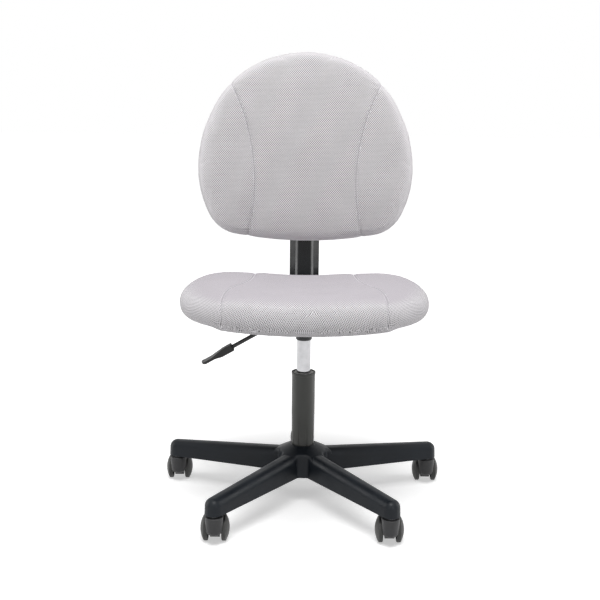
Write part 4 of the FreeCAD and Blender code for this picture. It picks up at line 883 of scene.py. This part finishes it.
def even_line(points, normals, pitch):
    """Places at an even pitch along a broken line, with the surface normal at each."""
    points, normals = np.array(points), np.array(normals)
    steps = np.linalg.norm(np.diff(points, axis=0), axis=1)
    run = np.concatenate([[0.0], np.cumsum(steps)])
    count = int(run[-1] / pitch)
    marks = (np.arange(count) + 0.5) * run[-1] / count
    place = np.column_stack([np.interp(marks, run, points[:, k]) for k in range(3)])
    ahead = np.column_stack([np.interp(marks + AHEAD, run, points[:, k]) for k in range(3)])
    up = np.column_stack([np.interp(marks, run, normals[:, k]) for k in range(3)])
    return place, ahead - place, up / np.linalg.norm(up, axis=1)[:, None]


def stitch_row(form, line):
    """Adds one bent thread for each place on the line."""
    for place, ahead, up in zip(*line):
        norm = np.linalg.norm(ahead)
        if norm < 1e-9:
            continue
        along = ahead / norm
        side = np.cross(along, up)
        rings = []
        for part in THREAD_RINGS:
            height = THREAD_RADIUS * (THREAD_PROUD - THREAD_DIVE * part ** 4)
            centre = place + along * part * STITCH_LENGTH / 2 + up * height
            radius = THREAD_RADIUS * math.sqrt(max(THREAD_END, 1 - part ** 6))
            ring = []
            for corner in range(THREAD_SIDES):
                angle = 2 * math.pi * corner / THREAD_SIDES
                spoke = math.cos(angle) * side + math.sin(angle) * up
                ring.append(form.verts.new(centre + radius * spoke))
            rings.append(ring)
        for first, second in zip(rings, rings[1:]):
            for corner in range(THREAD_SIDES):
                after = (corner + 1) % THREAD_SIDES
                form.faces.new((first[corner], first[after], second[after], second[corner]))
        form.faces.new(tuple(reversed(rings[0])))
        form.faces.new(rings[-1])


def stitching(name, tree_of_skin, board, lines):
    """lines are lists of (inside place, direction) pairs on the board."""
    form = bmesh.new()
    for line in lines:
        points, normals = [], []
        for inside, heading in line:
            start = Vector(board.world([inside])[0])
            way = Vector(np.asarray(heading) @ board.axes)
            hit, normal = tree_of_skin.ray_cast(start, way.normalized())[:2]
            if hit is not None:
                points.append(hit)
                normals.append(normal)
        stitch_row(form, even_line(points, normals, STITCH_PITCH))
    bmesh.ops.recalc_face_normals(form, faces=form.faces)
    mesh = bpy.data.meshes.new(name)
    form.to_mesh(mesh)
    form.free()
    mesh.polygons.foreach_set("use_smooth", np.ones(len(mesh.polygons), dtype=bool))
    mesh.materials.append(thread)
    piece = bpy.data.objects.new(name, mesh)
    scene.collection.objects.link(piece)
    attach(piece, "seat")
    print(name, "faces:", len(mesh.polygons))
    return piece


def skin_of(piece):
    form = bmesh.new()
    form.from_mesh(piece.data)
    found = BVHTree.FromBMesh(form)
    form.free()
    return found


FAN_STEPS = 40
LINE_STEPS = 90


def rays_over(inside, far, near, start, finish):
    """Rays that fan over the far end of a cushion, run along its face, and fan over its near end."""
    rays = []
    for step in range(FAN_STEPS):
        angle = math.radians(start + (90 - start) * step / FAN_STEPS)
        rays.append((inside(far), (0, math.cos(angle), math.sin(angle))))
    for step in range(LINE_STEPS + 1):
        rays.append((inside(far - (far - near) * step / LINE_STEPS), (0, 0, 1)))
    for step in range(1, FAN_STEPS + 1):
        angle = math.radians(90 - (90 - finish) * step / FAN_STEPS)
        rays.append((inside(near), (0, -math.cos(angle), math.sin(angle))))
    return rays


# %% Seat seams
SEAT_CORE = 22 * MM
SEAT_REAR_ANGLE = 5
SEAT_FRONT_ANGLE = -20


def seat_line(side, aside):
    """Rays through one stitch row, from the rear edge over the top to the front edge."""

    def inside(along):
        return (side * (seat_seam_half(along) + aside), along, SEAT_CORE)

    rear = seat_place.length - SEAT_CORE
    return rays_over(inside, rear, SEAT_CORE, SEAT_REAR_ANGLE, SEAT_FRONT_ANGLE)


seat_skin = skin_of(seat_pad)
for side, title in ((-1, "left"), (1, "right")):
    rows = [seat_line(side, aside) for aside in (-STITCH_ASIDE, STITCH_ASIDE)]
    stitching("seat_stitching_" + title, seat_skin, seat_place, rows)

# %% Back seams
BACK_CORE = 20 * MM
END_CORE = 24 * MM
BACK_END_ANGLE = 10


def back_line(side, aside):
    """Rays from the arc of one stitch row, with fans over the top and the foot of the back."""
    centre = BACK_SEAM_WAIST + BACK_SEAM_RADIUS
    radius = BACK_SEAM_RADIUS - aside

    def inside(along):
        reach = math.sqrt(radius ** 2 - (along - BACK_SEAM_HEIGHT) ** 2)
        return (side * (centre - reach), along, BACK_CORE)

    top = back_place.length - END_CORE
    return rays_over(inside, top, END_CORE, BACK_END_ANGLE, BACK_END_ANGLE)


back_skin = skin_of(back_pad)
for side, title in ((-1, "left"), (1, "right")):
    rows = [back_line(side, aside) for aside in (-STITCH_ASIDE, STITCH_ASIDE)]
    stitching("back_stitching_" + title, back_skin, back_place, rows)

# %% [markdown]
# ## The dust cloth
# Under the seat a thin black non-woven cloth is stretched over the board and stapled. It is a true
# sheet, so it is built as one: flat rings of the CAD outline, drawn towards the middle.

# %% Dust cloth
CLOTH_RINGS = 14
CLOTH_THICK = 0.5 * MM


def non_woven(name):
    material, tree, shader = new_finish(name)
    place = put(tree, "TexCoord").outputs["Object"]
    dots = put(tree, "TexVoronoi", {"Vector": place, "Scale": 520}).outputs["Distance"]
    fibre = grain(tree, 900, 5)
    pressed = ranged(tree, dots, 0.15, 0.4, 0.0, 1.0, "SMOOTHSTEP")
    body = tint(tree, varied(tree, fibre, 0, 1), ink(24, 24, 25), ink(46, 46, 48))
    body = tint(tree, pressed, ink(16, 16, 17), body)
    feed(tree, shader, Base_Color=body, Roughness=0.9, Specular_IOR_Level=0.15)
    feed(tree, shader, Normal=bumped(tree, pressed, 0.0004, 0.4))
    return material


cloth_places = seat_place.local(points_of(nodes["under_cloth"].data))
cloth_edge = hull_of(cloth_places[:, :2])
cloth_level = float(cloth_places[:, 2].mean())
cloth_middle = cloth_edge.mean(axis=0)
rows = []
for ring in range(CLOTH_RINGS):
    share = 1 - ring / CLOTH_RINGS
    flat = cloth_middle + (cloth_edge - cloth_middle) * share
    rows.append(np.column_stack([flat, np.full(len(flat), cloth_level)]))
rows.append(np.array([[*cloth_middle, cloth_level]]))
count = len(cloth_edge)
sides = [(corner, (corner + 1) % count) for corner in range(count)]
faces = []
for first in range(0, (CLOTH_RINGS - 1) * count, count):
    second = first + count
    faces += [(first + here, first + after, second + after, second + here) for here, after in sides]
last = (CLOTH_RINGS - 1) * count
faces += [(last + here, last + after, last + count) for here, after in sides]
cloth_mesh = bpy.data.meshes.new("dust_cloth")
cloth_mesh.from_pydata([tuple(p) for p in seat_place.world(np.vstack(rows))], [], faces)
dust_cloth = bpy.data.objects.new("dust_cloth", cloth_mesh)
scene.collection.objects.link(dust_cloth)
cloth_mesh.materials.append(non_woven("dust_cloth_felt"))
thick = dust_cloth.modifiers.new("thick", "SOLIDIFY")
thick.thickness = CLOTH_THICK
thick.offset = 0.0
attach(dust_cloth, "seat")
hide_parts("under_cloth")

# %% [markdown]
# ## Floor and light
# The chair stands in a bright studio on a seamless white floor. The floor is a pale diffuse sheet
# that takes the chair's soft shadow; for camera, glossy and transmitted rays it glows, least under
# the chair, so that its open parts reach white as the backdrop does. The weaker glow near the chair
# is painted shade around it, beside the real shadow. The light is broad: a strong soft panel above
# and in front, a weak one over the back, one low at each side, and a dim white surround. Two wing
# cards light nothing matt; they are there to be mirrored by chrome and enamel.

# %% Floor
FLOOR_HALF = 12.0
# Glow of the floor near the chair; kept low, it paints a soft shade there.
SHADED_FLOOR_GLOW = 0.44
GLOW_NEAR = 0.10
GLOW_FAR = 0.85
FLOOR_PALE = (0.8, 0.8, 0.8, 1)


def either(tree, first, second):
    return put(tree, "Math", {0: first, 1: second}, operation="MAXIMUM").outputs[0]


def seen_or_mirrored(tree):
    """1 for rays from the camera and for mirrored or transmitted rays, else 0."""
    rays = put(tree, "LightPath").outputs
    seen = either(tree, rays["Is Camera Ray"], rays["Is Glossy Ray"])
    return either(tree, seen, rays["Is Transmission Ray"])


floor_mesh = bpy.data.meshes.new("floor")
corners = [(x * FLOOR_HALF, y * FLOOR_HALF, 0) for x, y in ((-1, -1), (1, -1), (1, 1), (-1, 1))]
floor_mesh.from_pydata(corners, [], [(0, 1, 2, 3)])
floor = bpy.data.objects.new("floor", floor_mesh)
scene.collection.objects.link(floor)
sweep = bpy.data.materials.new("white_sweep")
sweep.use_nodes = True
tree = sweep.node_tree
tree.nodes.clear()
matt = put(tree, "BsdfDiffuse", {"Color": FLOOR_PALE}).outputs[0]
spot = put(tree, "NewGeometry").outputs["Position"]
away = put(tree, "VectorMath", {0: spot}, operation="LENGTH").outputs["Value"]
# The glow is weakest near the chair and full far out: the dimmer floor near the chair is painted shade on
# top of its real shadow.
rise = ranged(tree, away, GLOW_NEAR, GLOW_FAR, SHADED_FLOOR_GLOW, 1.0, "SMOOTHSTEP")
strength = times(tree, seen_or_mirrored(tree), rise)
glow = put(tree, "Emission", {"Color": (1, 1, 1, 1), "Strength": strength}).outputs[0]
both = put(tree, "AddShader", {0: matt, 1: glow}).outputs[0]
put(tree, "OutputMaterial", {"Surface": both})
floor_mesh.materials.append(sweep)
print("floor", 2 * FLOOR_HALF, "m wide")

# %% Surround and lamps
SURROUND = 0.1

world = bpy.data.worlds.new("studio")
scene.world = world
world.use_nodes = True
tree = world.node_tree
tree.nodes.clear()
level = ranged(tree, seen_or_mirrored(tree), 0.0, 1.0, SURROUND, 1.0)
sky = put(tree, "Background", {"Color": (1, 1, 1, 1), "Strength": level}).outputs[0]
put(tree, "OutputWorld", {"Surface": sky})


def soft_panel(name, place, target, width, height, power, lights_matt=True):
    """An area lamp aimed at a target. One that lights no matt surface is only seen in gloss."""
    lamp = bpy.data.lights.new(name, "AREA")
    lamp.shape = "RECTANGLE"
    lamp.size = width
    lamp.size_y = height
    lamp.energy = power
    panel = bpy.data.objects.new(name, lamp)
    panel.location = place
    panel.rotation_mode = "QUATERNION"
    panel.rotation_quaternion = (Vector(target) - Vector(place)).to_track_quat("-Z", "Y")
    panel.visible_camera = False
    panel.visible_diffuse = lights_matt
    scene.collection.objects.link(panel)


soft_panel("front_panel", (0.0, -1.3, 2.7), (0, 0, 0.6), 1.3, 1.3, 61)
soft_panel("top_panel", (0.0, 0.9, 2.6), (0, 0.1, 0.6), 2.0, 1.6, 6)
for side in (-1, 1):
    soft_panel("side_panel", (side * 1.7, 0.2, 0.8), (0, 0.2, 0.6), 0.35, 1.6, 10)
    soft_panel("wing_panel", (side * 0.95, -1.9, 0.8), (0, 0.2, 0.55), 0.5, 0.9, 5, False)
